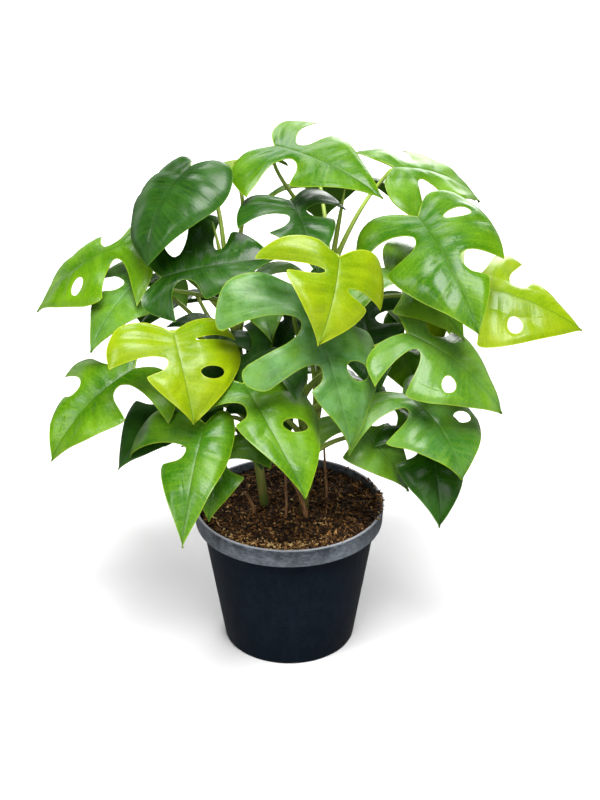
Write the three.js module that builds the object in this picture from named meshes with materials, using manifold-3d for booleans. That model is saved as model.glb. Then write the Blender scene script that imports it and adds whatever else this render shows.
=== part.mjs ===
// A mini monstera, a small climbing aroid, in its nursery pot. Millimetres, +Z up, with the origin
// at the centre of the pot's base and -Y towards the plant's show side.
import * as THREE from "three";
import { mergeVertices } from "three/addons/utils/BufferGeometryUtils.js";
import Module from "manifold-3d";

const wasm = await Module();
wasm.setup();

const DEGREES = Math.PI / 180;
const CLEARANCE = 0.3; // left between pieces that touch

// ---------------------------------------------------------------- driving dimensions

const POT = {
  rimRadius: 60, footRadius: 42, height: 95, wall: 1.2, bandHeight: 12, bandStep: 3.8, facets: 36,
};
const DRAIN = { count: 8, radius: 3, ring: 30.5, raise: 3, inner: 25, outer: 36, facets: 8 };
const SOIL = { level: 90.5, dome: 3, lump: 0.9, rings: 5, facets: 28 };
const STEM = { rootDepth: 22, footRadius: 3.2, topRadius: 2.1, nodeSwell: 0.5, sides: 7, rings: 11 };
const PETIOLE = { footRadius: 2, topRadius: 1.1, sheath: 0.9, sides: 5, rings: 5 };
const DRY = { depth: 9, sides: 5, rings: 4 };
const SPIKE = { footRadius: 1.9, topRadius: 0.35, sides: 6, rings: 4 };

// A blade: its thickness, the rows of faces from the midrib to the bottoms of its cuts, the rows from
// there to the margin as shares of that way, where on it a closed hole ends, and faces along a margin.
const BLADE = {
  thickness: 0.9, innerRows: 1, outerRows: [0.4, 0.8, 1], holeEnd: 0.8, columns: 7, frames: 24,
};
// How far the end of a lobe is pulled in at its corners towards the petiole and towards the apex, when
// it is round and when it is pointed; the front corner of a pointed lobe stands out.
const LOBE_END = { rear: [0.16, 0.12], front: [0.14, -0.03] };
// How far a side vein bows back on its way out, in blade lengths.
const VEIN_BOW = 0.06;
// One side of an uncut blade, from the petiole round to the apex: x in lengths, y in half widths.
const MARGIN = new THREE.SplineCurve(
  [
    [0, 0], [-0.16, 0.32], [-0.18, 0.74], [0.01, 1], [0.23, 1.03],
    [0.43, 0.92], [0.6, 0.71], [0.77, 0.45], [0.91, 0.19], [1, 0],
  ].map(([x, y]) => new THREE.Vector2(x, y)),
);

// Each shoot: where its stem leaves the soil, the stem's top, how far it bows on the way, and the tip
// of the rolled new leaf that grows on from the top.
const SHOOTS = [
  { name: "shoot_front", foot: [6, -7], top: [10, -12, 196], bow: [9, -6], spike: [2, -20, 238] },
  { name: "shoot_left", foot: [-14, 2], top: [-34, 6, 232], bow: [-3, -6], spike: [-44, -2, 284] },
  { name: "shoot_back", foot: [9, 14], top: [26, 30, 246], bow: [8, 5], spike: [34, 26, 296] },
];

// Roots and dry leaf bases that stand in the soil: foot, bend and tip, and the radius at both ends.
const DRIES = [
  { name: "dry_sheath_1", foot: [13, -16], bend: [10, -14, 104], tip: [2, -17, 120], radii: [2.4, 0.8] },
  { name: "dry_sheath_2", foot: [-20, -8], bend: [-22, -10, 102], tip: [-28, -18, 112], radii: [1.8, 0.6] },
  { name: "aerial_root_1", foot: [-2, -18], bend: [-1, -12, 112], tip: [-3, -4, 132], radii: [1, 0.6] },
  { name: "aerial_root_2", foot: [24, 6], bend: [24, 8, 112], tip: [21, 10, 136], radii: [1, 0.6] },
];

// Each leaf: the shoot that it grows from and how far up its stem (0 to 1), the point where the blade
// starts, the blade's heading, pitch and roll in degrees, its length and its two half widths (left
// and right of the midrib), and its form. In degrees, arch bends the midrib down, sickle bends it
// sideways, fold lifts the sides at the midrib and droop bends them down. ruffle moves each lobe up
// or down, in millimetres. pointed is 0 for round lobes, 1 for pointed ones. columns refines
// the blades at the front. left and right list the cuts of each side: the place along the margin
// (0 to 1), the bottom as a share of the way out from the midrib, half the opening in the measure of
// the place, and true for a closed hole. reach is how far the lobes of both sides go out, from the
// petiole to the apex, in half widths.
const LEAVES = [
  { name: "leaf_01", tone: "green", shoot: 0, at: 0.93,
    base: [8, -26, 251], heading: -61, pitch: -38, roll: -6, long: 98, wide: [54, 62],
    arch: 34, sickle: 6, fold: 8, droop: 54, ruffle: 2, pointed: 0, columns: 9,
    left: [[0.4, 0.2, 0.1], [0.7, 0.3, 0.05, true]], right: [[0.45, 0.14, 0.08], [0.69, 0.16, 0.045]],
    reach: [[0.8, 0.95], [0.93, 0.96, 0.55]] },
  { name: "leaf_02", tone: "green", shoot: 0, at: 0.6,
    base: [-26, -47, 201], heading: -61, pitch: -20, roll: 8, long: 80, wide: [42, 48],
    arch: 36, sickle: 6, fold: 8, droop: 62, ruffle: 2, pointed: 1, columns: 9,
    left: [[0.64, 0.25, 0.055, true]], right: [[0.44, 0.14, 0.09]], reach: [[1], [0.75, 0.42]] },
  { name: "leaf_03", tone: "lime", shoot: 1, at: 0.74,
    base: [-66, -41, 231], heading: -72, pitch: -35, roll: -4, long: 56, wide: [48, 48],
    arch: 36, sickle: 8, fold: 10, droop: 60, ruffle: 2, pointed: 1, columns: 9,
    left: [[0.36, 0.25, 0.025], [0.66, 0.3, 0.06, true]], right: [[0.54, 0.16, 0.07]],
    reach: [[0.9, 0.95], [0.85, 0.6]] },
  { name: "leaf_04", tone: "green", shoot: 1, at: 0.46,
    base: [-48, -57, 180], heading: -104, pitch: -29, roll: 7, long: 76, wide: [24, 66],
    arch: 30, sickle: -2, fold: 8, droop: 70, ruffle: 2, pointed: 1, columns: 9,
    left: [], right: [[0.48, 0.12, 0.07]], reach: [[0.75], [0.9, 0.42]] },
  { name: "leaf_05", tone: "lime", shoot: 2, at: 0.86,
    base: [29, -42, 278], heading: -94, pitch: -38, roll: -28, long: 54, wide: [38, 54],
    arch: 30, sickle: -8, fold: 6, droop: 46, ruffle: 2, pointed: 1, columns: 9,
    left: [[0.56, 0.22, 0.04]], right: [[0.46, 0.14, 0.05]], reach: [[0.95, 0.8], [0.8, 0.62]] },
  { name: "leaf_06", tone: "deep", shoot: 1, at: 0.95,
    base: [-74, -14, 254], heading: -4, pitch: 18, roll: 33, long: 68, wide: [56, 26],
    arch: 20, sickle: 0, fold: 8, droop: 50, ruffle: 2, pointed: 1, columns: 9,
    left: [[0.4, 0.2, 0.09], [0.68, 0.35, 0.04]], right: [[0.44, 0.22, 0.09]],
    reach: [[1, 1, 0.9], [1, 0.9]] },
  { name: "leaf_07", tone: "deep", shoot: 1, at: 1,
    base: [-57, 16, 312], heading: -136, pitch: -22, roll: 7, long: 68, wide: [34, 48],
    arch: 56, sickle: 10, fold: 6, droop: 56, ruffle: 0, pointed: 1,
    left: [], right: [], reach: [[1], [1]] },
  { name: "leaf_08", tone: "green", shoot: 2, at: 0.94,
    base: [76, 4, 285], heading: -65, pitch: -14, roll: 17, long: 86, wide: [42, 46],
    arch: 42, sickle: -8, fold: 8, droop: 50, ruffle: 2, pointed: 1, columns: 9,
    left: [[0.36, 0.3, 0.05, true], [0.66, 0.26, 0.06]], right: [[0.42, 0.2, 0.09]],
    reach: [[1, 0.85], [1, 0.85]] },
  { name: "leaf_09", tone: "green", shoot: 0, at: 0.72,
    base: [68, -31, 187], heading: -42, pitch: -9, roll: 4, long: 66, wide: [52, 52],
    arch: 55, sickle: -16, fold: 10, droop: 62, ruffle: 4, pointed: 1, columns: 9,
    left: [[0.38, 0.25, 0.08], [0.64, 0.35, 0.05, true]], right: [[0.44, 0.2, 0.08]],
    reach: [[1, 0.9], [1, 0.7]] },
  { name: "leaf_10", tone: "deep", shoot: 0, at: 0.4,
    base: [-16, -7, 166], heading: -94, pitch: -35, roll: -8, long: 40, wide: [20, 22],
    arch: 46, sickle: 10, fold: 8, droop: 40, ruffle: 1, pointed: 1,
    left: [], right: [[0.46, 0.3, 0.07]], reach: [[1], [1, 0.8]] },
  { name: "leaf_11", tone: "deep", shoot: 0, at: 0.48,
    base: [80, -27, 158], heading: -64, pitch: -30, roll: 0, long: 60, wide: [34, 34],
    arch: 50, sickle: -10, fold: 10, droop: 40, ruffle: 3, pointed: 1,
    left: [[0.44, 0.16, 0.08]], right: [[0.4, 0.16, 0.08]], reach: [[0.95, 0.75], [0.95, 0.72]] },
  { name: "leaf_12", tone: "green", shoot: 1, at: 0.6,
    base: [-92, -18, 197], heading: -152, pitch: -19, roll: -10, long: 76, wide: [44, 50],
    arch: 42, sickle: 10, fold: 8, droop: 50, ruffle: 2, pointed: 1,
    left: [[0.44, 0.15, 0.085]], right: [[0.36, 0.2, 0.07], [0.62, 0.3, 0.06]],
    reach: [[1, 0.8], [1, 1, 0.7]] },
  { name: "leaf_13", tone: "green", shoot: 1, at: 0.88,
    base: [-94, 25, 261], heading: 175, pitch: -16, roll: -12, long: 82, wide: [46, 46],
    arch: 44, sickle: 6, fold: 8, droop: 46, ruffle: 2, pointed: 1,
    left: [[0.4, 0.2, 0.08], [0.66, 0.3, 0.05, true]], right: [[0.44, 0.15, 0.085]],
    reach: [[1, 0.9], [1, 0.8]] },
  { name: "leaf_14", tone: "deep", shoot: 1, at: 0.67,
    base: [-59, 59, 214], heading: 127, pitch: -13, roll: 6, long: 84, wide: [46, 46],
    arch: 46, sickle: -6, fold: 8, droop: 50, ruffle: 2, pointed: 1,
    left: [[0.42, 0.2, 0.09]], right: [[0.38, 0.2, 0.07], [0.64, 0.35, 0.05, true]],
    reach: [[1, 0.8], [1, 0.9]] },
  { name: "leaf_15", tone: "lime", shoot: 1, at: 0.97,
    base: [-35, 50, 299], heading: 127, pitch: -12, roll: -9, long: 70, wide: [42, 42],
    arch: 44, sickle: 0, fold: 8, droop: 46, ruffle: 2, pointed: 1,
    left: [[0.5, 0.16, 0.08]], right: [[0.4, 0.22, 0.08]], reach: [[1, 0.8], [1, 0.85]] },
  { name: "leaf_16", tone: "green", shoot: 2, at: 0.9,
    base: [19, 80, 282], heading: 90, pitch: -16, roll: -9, long: 88, wide: [48, 48],
    arch: 46, sickle: 4, fold: 8, droop: 48, ruffle: 2, pointed: 1,
    left: [[0.38, 0.2, 0.07], [0.62, 0.24, 0.06]], right: [[0.36, 0.25, 0.05, true], [0.6, 0.24, 0.06]],
    reach: [[1, 1, 0.7], [1, 0.8]] },
  { name: "leaf_17", tone: "green", shoot: 2, at: 0.97,
    base: [64, 50, 300], heading: 22, pitch: -6, roll: 14, long: 74, wide: [44, 44],
    arch: 44, sickle: 0, fold: 8, droop: 46, ruffle: 2, pointed: 1,
    left: [[0.42, 0.15, 0.085]], right: [[0.46, 0.22, 0.08]], reach: [[1, 0.85], [1, 0.8]] },
  { name: "leaf_18", tone: "lime", shoot: 2, at: 0.78,
    base: [101, 14, 239], heading: -20, pitch: 2, roll: 27, long: 84, wide: [46, 48],
    arch: 46, sickle: 0, fold: 8, droop: 48, ruffle: 2, pointed: 1,
    left: [[0.36, 0.22, 0.07], [0.62, 0.26, 0.06]], right: [[0.4, 0.2, 0.08], [0.66, 0.35, 0.05, true]],
    reach: [[1, 1, 0.7], [1, 0.85]] },
  { name: "leaf_19", tone: "green", shoot: 2, at: 0.62,
    base: [61, 72, 203], heading: 46, pitch: -10, roll: 1, long: 86, wide: [46, 48],
    arch: 48, sickle: 6, fold: 8, droop: 50, ruffle: 2, pointed: 1,
    left: [[0.42, 0.15, 0.085]], right: [[0.38, 0.2, 0.07], [0.62, 0.26, 0.06]],
    reach: [[1, 0.8], [1, 1, 0.7]] },
  { name: "leaf_20", tone: "deep", shoot: 2, at: 0.4,
    base: [20, 64, 156], heading: 82, pitch: -10, roll: 0, long: 66, wide: [36, 36],
    arch: 48, sickle: 0, fold: 8, droop: 44, ruffle: 2, pointed: 1,
    left: [[0.46, 0.16, 0.08]], right: [[0.46, 0.16, 0.08]], reach: [[0.95, 0.72], [0.95, 0.7]] },
  { name: "leaf_21", tone: "green", shoot: 1, at: 0.4,
    base: [-62, 22, 150], heading: 160, pitch: -12, roll: 0, long: 62, wide: [34, 34],
    arch: 48, sickle: 0, fold: 8, droop: 44, ruffle: 2, pointed: 1,
    left: [[0.46, 0.16, 0.08]], right: [], reach: [[1, 0.8], [1]] },
  { name: "leaf_22", tone: "green", shoot: 0, at: 0.84,
    base: [70, -29, 225], heading: -20, pitch: -16, roll: 18, long: 76, wide: [42, 44],
    arch: 46, sickle: -4, fold: 8, droop: 50, ruffle: 3, pointed: 1,
    left: [[0.42, 0.15, 0.085]], right: [[0.38, 0.2, 0.07], [0.64, 0.35, 0.05, true]],
    reach: [[1, 0.8], [1, 0.9]] },
  { name: "leaf_23", tone: "deep", shoot: 2, at: 0.98,
    base: [2, 12, 292], heading: -72, pitch: -14, roll: 0, long: 56, wide: [34, 36],
    arch: 30, sickle: 0, fold: 8, droop: 40, ruffle: 1, pointed: 1,
    left: [[0.46, 0.16, 0.08]], right: [[0.5, 0.16, 0.08]], reach: [[0.95, 0.72], [0.95, 0.7]] },
  { name: "leaf_24", tone: "green", shoot: 2, at: 1,
    base: [-8, 36, 318], heading: -38, pitch: 2, roll: 20, long: 78, wide: [42, 42],
    arch: 34, sickle: 0, fold: 6, droop: 36, ruffle: 2, pointed: 1,
    left: [[0.42, 0.15, 0.085]], right: [[0.46, 0.15, 0.085]], reach: [[0.95, 0.72], [0.95, 0.7]] },
  { name: "leaf_25", tone: "deep", shoot: 1, at: 0.55,
    base: [-39, -5, 215], heading: -114, pitch: -5, roll: -11, long: 58, wide: [34, 36],
    arch: 44, sickle: 0, fold: 8, droop: 40, ruffle: 2, pointed: 1,
    left: [[0.46, 0.16, 0.08]], right: [[0.46, 0.16, 0.08]], reach: [[0.95, 0.72], [0.95, 0.7]] },
  { name: "leaf_26", tone: "deep", shoot: 2, at: 0.55,
    base: [47, 37, 213], heading: -86, pitch: -20, roll: 11, long: 62, wide: [36, 38],
    arch: 44, sickle: 0, fold: 8, droop: 42, ruffle: 2, pointed: 1,
    left: [[0.42, 0.16, 0.08]], right: [[0.46, 0.16, 0.08]], reach: [[0.95, 0.72], [0.95, 0.7]] },
  { name: "leaf_27", tone: "green", shoot: 1, at: 0.8,
    base: [-20, 30, 240], heading: -81, pitch: -3, roll: 5, long: 60, wide: [34, 34],
    arch: 40, sickle: 0, fold: 8, droop: 42, ruffle: 2, pointed: 1,
    left: [[0.42, 0.16, 0.08]], right: [[0.46, 0.16, 0.08]], reach: [[0.95, 0.72], [0.95, 0.7]] },
  { name: "leaf_28", tone: "green", shoot: 2, at: 0.3,
    base: [54, 20, 160], heading: -16, pitch: -14, roll: 0, long: 62, wide: [34, 36],
    arch: 46, sickle: 0, fold: 8, droop: 42, ruffle: 2, pointed: 1,
    left: [[0.42, 0.16, 0.08]], right: [[0.46, 0.16, 0.08]], reach: [[0.95, 0.72], [0.95, 0.7]] },
  { name: "leaf_29", tone: "green", shoot: 1, at: 0.7,
    base: [-87, 16, 243], heading: -128, pitch: -14, roll: -5, long: 60, wide: [36, 36],
    arch: 44, sickle: 0, fold: 8, droop: 44, ruffle: 2, pointed: 1,
    left: [[0.44, 0.2, 0.09]], right: [[0.46, 0.16, 0.08]], reach: [[0.95, 0.72], [0.95, 0.7]] },
  { name: "leaf_30", tone: "deep", shoot: 2, at: 0.46,
    base: [7, 18, 216], heading: -124, pitch: -16, roll: -25, long: 58, wide: [34, 36],
    arch: 40, sickle: 0, fold: 8, droop: 40, ruffle: 2, pointed: 1,
    left: [[0.46, 0.16, 0.08]], right: [[0.42, 0.16, 0.08]], reach: [[0.95, 0.72], [0.95, 0.7]] },
  { name: "leaf_31", tone: "green", shoot: 1, at: 0.36,
    base: [-38, -38, 158], heading: -107, pitch: -29, roll: 1, long: 50, wide: [30, 30],
    arch: 40, sickle: 0, fold: 8, droop: 40, ruffle: 1, pointed: 1,
    left: [[0.5, 0.16, 0.08]], right: [[0.44, 0.16, 0.08]], reach: [[0.95, 0.72], [0.95, 0.7]] },
  { name: "leaf_32", tone: "green", shoot: 2, at: 0.66,
    base: [59, 39, 197], heading: -49, pitch: -22, roll: -3, long: 62, wide: [36, 36],
    arch: 46, sickle: 0, fold: 8, droop: 44, ruffle: 2, pointed: 1,
    left: [[0.42, 0.16, 0.08]], right: [[0.46, 0.22, 0.08]], reach: [[0.95, 0.72], [0.95, 0.7]] },
  { name: "leaf_33", tone: "deep", shoot: 0, at: 0.66,
    base: [-10, -25, 214], heading: -157, pitch: -21, roll: -16, long: 62, wide: [38, 38],
    arch: 44, sickle: 0, fold: 8, droop: 44, ruffle: 2, pointed: 1,
    left: [[0.46, 0.16, 0.08]], right: [[0.44, 0.16, 0.08]], reach: [[0.95, 0.72], [0.95, 0.7]] },
  { name: "leaf_34", tone: "deep", shoot: 1, at: 0.5,
    base: [-64, -8, 175], heading: -142, pitch: -17, roll: -8, long: 62, wide: [38, 38],
    arch: 44, sickle: 0, fold: 8, droop: 44, ruffle: 2, pointed: 1,
    left: [[0.44, 0.16, 0.08]], right: [[0.46, 0.16, 0.08]], reach: [[0.95, 0.72], [0.95, 0.7]] },
  { name: "leaf_35", tone: "green", shoot: 2, at: 0.74,
    base: [58, 6, 252], heading: -36, pitch: -12, roll: 14, long: 66, wide: [38, 38],
    arch: 44, sickle: 0, fold: 8, droop: 44, ruffle: 2, pointed: 1,
    left: [[0.44, 0.16, 0.08]], right: [[0.46, 0.16, 0.08]], reach: [[0.95, 0.72], [0.95, 0.7]] },
  { name: "leaf_36", tone: "green", shoot: 0, at: 0.52,
    base: [33, -22, 167], heading: -33, pitch: -21, roll: 13, long: 62, wide: [36, 36],
    arch: 44, sickle: 0, fold: 8, droop: 44, ruffle: 2, pointed: 1,
    left: [[0.46, 0.16, 0.08]], right: [[0.42, 0.16, 0.08]], reach: [[0.95, 0.72], [0.95, 0.7]] },
];

// ---------------------------------------------------------------- solids

// A closed mesh as a manifold solid, with the vertices that share a place merged.
function solidOf(geometry) {
  const bare = new THREE.BufferGeometry().setAttribute("position", geometry.getAttribute("position"));
  bare.setIndex(geometry.index);
  const merged = mergeVertices(bare, 1e-4);
  return new wasm.Manifold(
    new wasm.Mesh({
      numProp: 3,
      vertProperties: new Float32Array(merged.attributes.position.array),
      triVerts: new Uint32Array(merged.index.array),
    }),
  );
}

function geometryOf(solid) {
  const mesh = solid.getMesh();
  return new THREE.BufferGeometry()
    .setAttribute("position", new THREE.BufferAttribute(mesh.vertProperties, 3))
    .setIndex(new THREE.BufferAttribute(mesh.triVerts, 1));
}

// A lathe about Z from (radius, height) points.
function turned(points, facets) {
  const profile = points.map(([radius, height]) => new THREE.Vector2(radius, height));
  return new THREE.LatheGeometry(profile, facets).rotateX(Math.PI / 2);
}

// A round limb along a curve, with closed ends. radiusAt gives its radius at a share of its length.
function limb(curve, radiusAt, sides, rings) {
  const geometry = new THREE.CylinderGeometry(1, 1, 1, sides, rings);
  const frames = curve.computeFrenetFrames(rings);
  const place = geometry.attributes.position;
  for (let i = 0; i < place.count; i++) {
    const share = place.getY(i) + 0.5;
    const ring = Math.round(share * rings);
    const point = curve
      .getPointAt(share)
      .addScaledVector(frames.normals[ring], place.getX(i) * radiusAt(share))
      .addScaledVector(frames.binormals[ring], -place.getZ(i) * radiusAt(share));
    place.setXYZ(i, point.x, point.y, point.z);
  }
  return geometry;
}

// ---------------------------------------------------------------- pot and soil

// The pot's inner wall from the centre of its floor up to the rim, moved in by a gap.
function innerWall(gap) {
  const floor = POT.wall + gap;
  const shoulder = POT.height - POT.bandHeight;
  const neck = POT.rimRadius - POT.bandStep - POT.wall - 1.4;
  return [
    [0, floor],
    [DRAIN.inner - 1.5 - gap, floor],
    [DRAIN.inner - 0.5 - gap, floor + DRAIN.raise],
    [DRAIN.outer + 0.5 + gap, floor + DRAIN.raise],
    [DRAIN.outer + 1.5 + gap, floor],
    [POT.footRadius - POT.wall - gap, floor],
    [neck - gap, shoulder + gap],
    [POT.rimRadius - POT.wall - 1.2 - gap, shoulder + POT.wall + gap],
    [POT.rimRadius - POT.wall - 0.6 - gap, POT.height],
  ];
}

function makePot() {
  const shoulder = POT.height - POT.bandHeight;
  const neck = POT.rimRadius - POT.bandStep - 1.4;
  const outside = [
    [0, 0],
    [DRAIN.inner - 1, 0],
    [DRAIN.inner, DRAIN.raise],
    [DRAIN.outer, DRAIN.raise],
    [DRAIN.outer + 1, 0],
    [POT.footRadius - 1, 0],
    [POT.footRadius, 1],
    [neck, shoulder - POT.wall],
    [POT.rimRadius - 0.8, shoulder],
    [POT.rimRadius, POT.height - 0.8],
    [POT.rimRadius - 0.5, POT.height],
  ];
  let pot = solidOf(turned([...outside, ...innerWall(0).reverse()], POT.facets));
  for (let i = 0; i < DRAIN.count; i++) {
    const angle = (2 * Math.PI * i) / DRAIN.count;
    const hole = new THREE.CylinderGeometry(DRAIN.radius, DRAIN.radius, 12, DRAIN.facets)
      .rotateX(Math.PI / 2)
      .translate(DRAIN.ring * Math.cos(angle), DRAIN.ring * Math.sin(angle), DRAIN.raise);
    pot = pot.subtract(solidOf(hole));
  }
  return geometryOf(pot);
}

function soilHeight(x, y, radius) {
  const out = Math.hypot(x, y) / radius;
  const lumps = Math.sin(0.31 * x + 1) * Math.cos(0.27 * y) + 0.6 * Math.sin(0.17 * x - 0.23 * y);
  return SOIL.level + SOIL.dome * (1 - out * out) + SOIL.lump * lumps;
}

function makeSoil(cutters) {
  const wall = innerWall(CLEARANCE).slice(0, -1);
  const edge = wall[wall.length - 1][0];
  const profile = [...wall, [edge - 0.2, SOIL.level - 1.5]];
  for (let i = SOIL.rings - 1; i >= 0; i--) profile.push([(edge * i) / SOIL.rings, SOIL.level]);
  const geometry = turned(profile, SOIL.facets);
  const place = geometry.attributes.position;
  for (let i = 0; i < place.count; i++)
    if (place.getZ(i) > SOIL.level - 0.01)
      place.setZ(i, soilHeight(place.getX(i), place.getY(i), edge));
  return geometryOf(cutters.reduce((soil, cutter) => soil.subtract(cutter), solidOf(geometry)));
}

// ---------------------------------------------------------------- blades

const blend = ([from, to], share) => from + (to - from) * share;

// A number from -1 to 1 that a seed always gives again.
function chance(seed) {
  const value = Math.sin(seed * 12.9898) * 43758.5453;
  return 2 * (value - Math.floor(value)) - 1;
}

// Places and directions along a bent midrib, in the blade's own frame.
function midribFrames(leaf) {
  const frames = [];
  const step = leaf.long / BLADE.frames;
  const directions = (share) => {
    const dip = leaf.arch * share * DEGREES;
    const turn = leaf.sickle * share * DEGREES;
    const level = new THREE.Vector3(Math.cos(turn), Math.sin(turn), 0);
    const side = new THREE.Vector3(-Math.sin(turn), Math.cos(turn), 0);
    const along = level.multiplyScalar(Math.cos(dip)).setZ(-Math.sin(dip));
    return { along, side, up: new THREE.Vector3().crossVectors(along, side) };
  };
  const at = new THREE.Vector3();
  for (let i = 0; i <= BLADE.frames; i++) {
    frames.push({ at: at.clone(), ...directions(i / BLADE.frames) });
    at.addScaledVector(directions((i + 0.5) / BLADE.frames).along, step);
  }
  return frames;
}

// The point of a bent blade that is x along its midrib and y out from it on one side (1 or -1).
function bentPoint(leaf, frames, side, x, y, lift) {
  const step = leaf.long / BLADE.frames;
  const i = Math.min(Math.max(Math.floor(x / step), 0), BLADE.frames - 1);
  const share = x / step - i;
  const between = (key) => frames[i][key].clone().lerp(frames[i + 1][key], share);
  const fold = leaf.fold * DEGREES;
  const rate = (leaf.droop * DEGREES) / leaf.wide[side > 0 ? 0 : 1];
  const angle = fold - rate * y;
  const out = (Math.sin(fold) - Math.sin(angle)) / rate;
  const rise = (Math.cos(angle) - Math.cos(fold)) / rate;
  return between("at")
    .addScaledVector(between("side"), side * out)
    .addScaledVector(between("up"), rise + lift);
}

// The lobes of one side: each runs between two stops, and lobes that only a closed hole parts share
// a span, which is what their end is rounded over.
function lobesOf(cuts) {
  const first = cuts.length ? cuts[0][1] : 0.4;
  const last = cuts.length ? cuts[cuts.length - 1][1] : 0.4;
  const stops = [[0, first, 0, false], ...cuts, [1, last, 0, false]];
  const opens = stops.filter((stop, i) => !stop[3] || i === 0);
  return stops.slice(1).map((front, i) => {
    const rear = stops[i];
    const span = opens.findIndex((stop) => stop[0] >= front[0]);
    return { rear, front, from: opens[span - 1][0], to: opens[span][0], group: span - 1 };
  });
}

// How far a cut's edge stands from its middle line, at a share of the way from bottom to margin.
function halfOpening([, , gap, hole], share) {
  if (hole) return share < BLADE.holeEnd ? gap * Math.sin((Math.PI * share) / BLADE.holeEnd) : 0;
  return gap * Math.sin((Math.PI / 2) * Math.min(1, 1.4 * share));
}

// The places along the margin that the veins of both sides share: every cut of either side, and
// even steps between them.
function veinPlaces(leaf) {
  const stops = [0, ...leaf.left.map((cut) => cut[0]), ...leaf.right.map((cut) => cut[0]), 1].sort(
    (a, b) => a - b,
  );
  const places = [0];
  for (let i = 1; i < stops.length; i++) {
    const width = stops[i] - stops[i - 1];
    const steps = Math.ceil(width * (leaf.columns ?? BLADE.columns) - 0.3);
    for (let k = 1; k <= steps; k++) places.push(stops[i - 1] + (width * k) / steps);
  }
  return places;
}

// A blade's middle surface as loose triangles.
function bladeTriangles(leaf, number) {
  const frames = midribFrames(leaf);
  const places = veinPlaces(leaf);
  const triangles = [];
  const { innerRows, outerRows } = BLADE;
  const rows = innerRows + outerRows.length;
  for (const side of [1, -1]) {
    const halfWidth = leaf.wide[side > 0 ? 0 : 1];
    const reaches = leaf.reach[side > 0 ? 0 : 1];
    for (const { rear, front, from, to, group } of lobesOf(side > 0 ? leaf.left : leaf.right)) {
      const veins = places.filter((place) => place > rear[0] - 1e-6 && place < front[0] + 1e-6);
      const sag = leaf.ruffle * chance(number * 7 + group * 3 + side);
      const tilt = leaf.ruffle * chance(number * 11 + group * 5 + side);
      const grid = (row, column) => {
        const across = (veins[column] - rear[0]) / (front[0] - rear[0]);
        const share = row <= innerRows ? 0 : outerRows[row - innerRows - 1];
        const low = rear[0] + halfOpening(rear, share);
        const high = front[0] - halfOpening(front, share);
        const t = low + (high - low) * across;
        const span = (veins[column] - from) / (to - from);
        const deep = rear[1] + (front[1] - rear[1]) * across;
        const rearEnd = from > 0 ? blend(LOBE_END.rear, leaf.pointed) * (1 - span) ** 4 : 0;
        const frontEnd = to < 1 ? blend(LOBE_END.front, leaf.pointed) * span ** 6 : 0;
        const end = reaches[group] * (1 - rearEnd - frontEnd);
        const out = row <= innerRows ? (deep * row) / innerRows : deep + (end - deep) * share * share;
        const root = t * t * leaf.long;
        const margin = MARGIN.getPoint(t);
        const bow = VEIN_BOW * leaf.long * Math.sin(Math.PI * t) * (out - out * out);
        const x = root + (margin.x * leaf.long - root) * out - bow;
        const lift = (sag + tilt * (2 * span - 1)) * share * share * Math.sin(Math.PI * t);
        return bentPoint(leaf, frames, side, x, margin.y * halfWidth * out, lift);
      };
      for (let row = 0; row < rows; row++)
        for (let column = 0; column < veins.length - 1; column++) {
          const [a, b] = [grid(row, column), grid(row, column + 1)];
          const [d, c] = [grid(row + 1, column), grid(row + 1, column + 1)];
          triangles.push(...(side > 0 ? [a, b, c, a, c, d] : [a, c, b, a, d, c]));
        }
    }
  }
  return triangles;
}

// A surface of loose triangles as a closed sheet of even thickness, cut alike on both faces.
function thicken(points, thickness) {
  const loose = new THREE.BufferGeometry().setFromPoints(points);
  const surface = mergeVertices(loose, 1e-3);
  const index = surface.index.array;
  const faces = [];
  for (let i = 0; i < index.length; i += 3) {
    const [a, b, c] = [index[i], index[i + 1], index[i + 2]];
    if (a !== b && b !== c && c !== a) faces.push([a, b, c]);
  }
  surface.setIndex(faces.flat());
  surface.computeVertexNormals();
  const count = surface.attributes.position.count;
  const place = new Float32Array(count * 6);
  const point = new THREE.Vector3();
  const normal = new THREE.Vector3();
  for (let i = 0; i < count; i++) {
    normal.fromBufferAttribute(surface.attributes.normal, i);
    point.fromBufferAttribute(surface.attributes.position, i).addScaledVector(normal, thickness / 2);
    point.toArray(place, 3 * i);
    point.addScaledVector(normal, -thickness).toArray(place, 3 * (i + count));
  }
  const edges = new Set(faces.flatMap(([a, b, c]) => [`${a},${b}`, `${b},${c}`, `${c},${a}`]));
  const closed = [];
  for (const [a, b, c] of faces) {
    closed.push(a, b, c, a + count, c + count, b + count);
    for (const [from, to] of [[a, b], [b, c], [c, a]])
      if (!edges.has(`${to},${from}`)) closed.push(to, from, from + count, to, from + count, to + count);
  }
  return new THREE.BufferGeometry()
    .setAttribute("position", new THREE.BufferAttribute(place, 3))
    .setIndex(closed);
}

const bladeTurn = (leaf) =>
  new THREE.Euler(leaf.roll * DEGREES, -leaf.pitch * DEGREES, leaf.heading * DEGREES, "ZYX");

// ---------------------------------------------------------------- stems and petioles

function stemCurve({ foot, top, bow }, gap) {
  const rise = top[2] - SOIL.level;
  return new THREE.CubicBezierCurve3(
    new THREE.Vector3(foot[0], foot[1], SOIL.level - STEM.rootDepth - gap),
    new THREE.Vector3(foot[0] + bow[0], foot[1] + bow[1], SOIL.level + 0.3 * rise),
    new THREE.Vector3(top[0] - bow[0] / 2, top[1] - bow[1] / 2, SOIL.level + 0.7 * rise),
    new THREE.Vector3(...top),
  );
}

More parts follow.
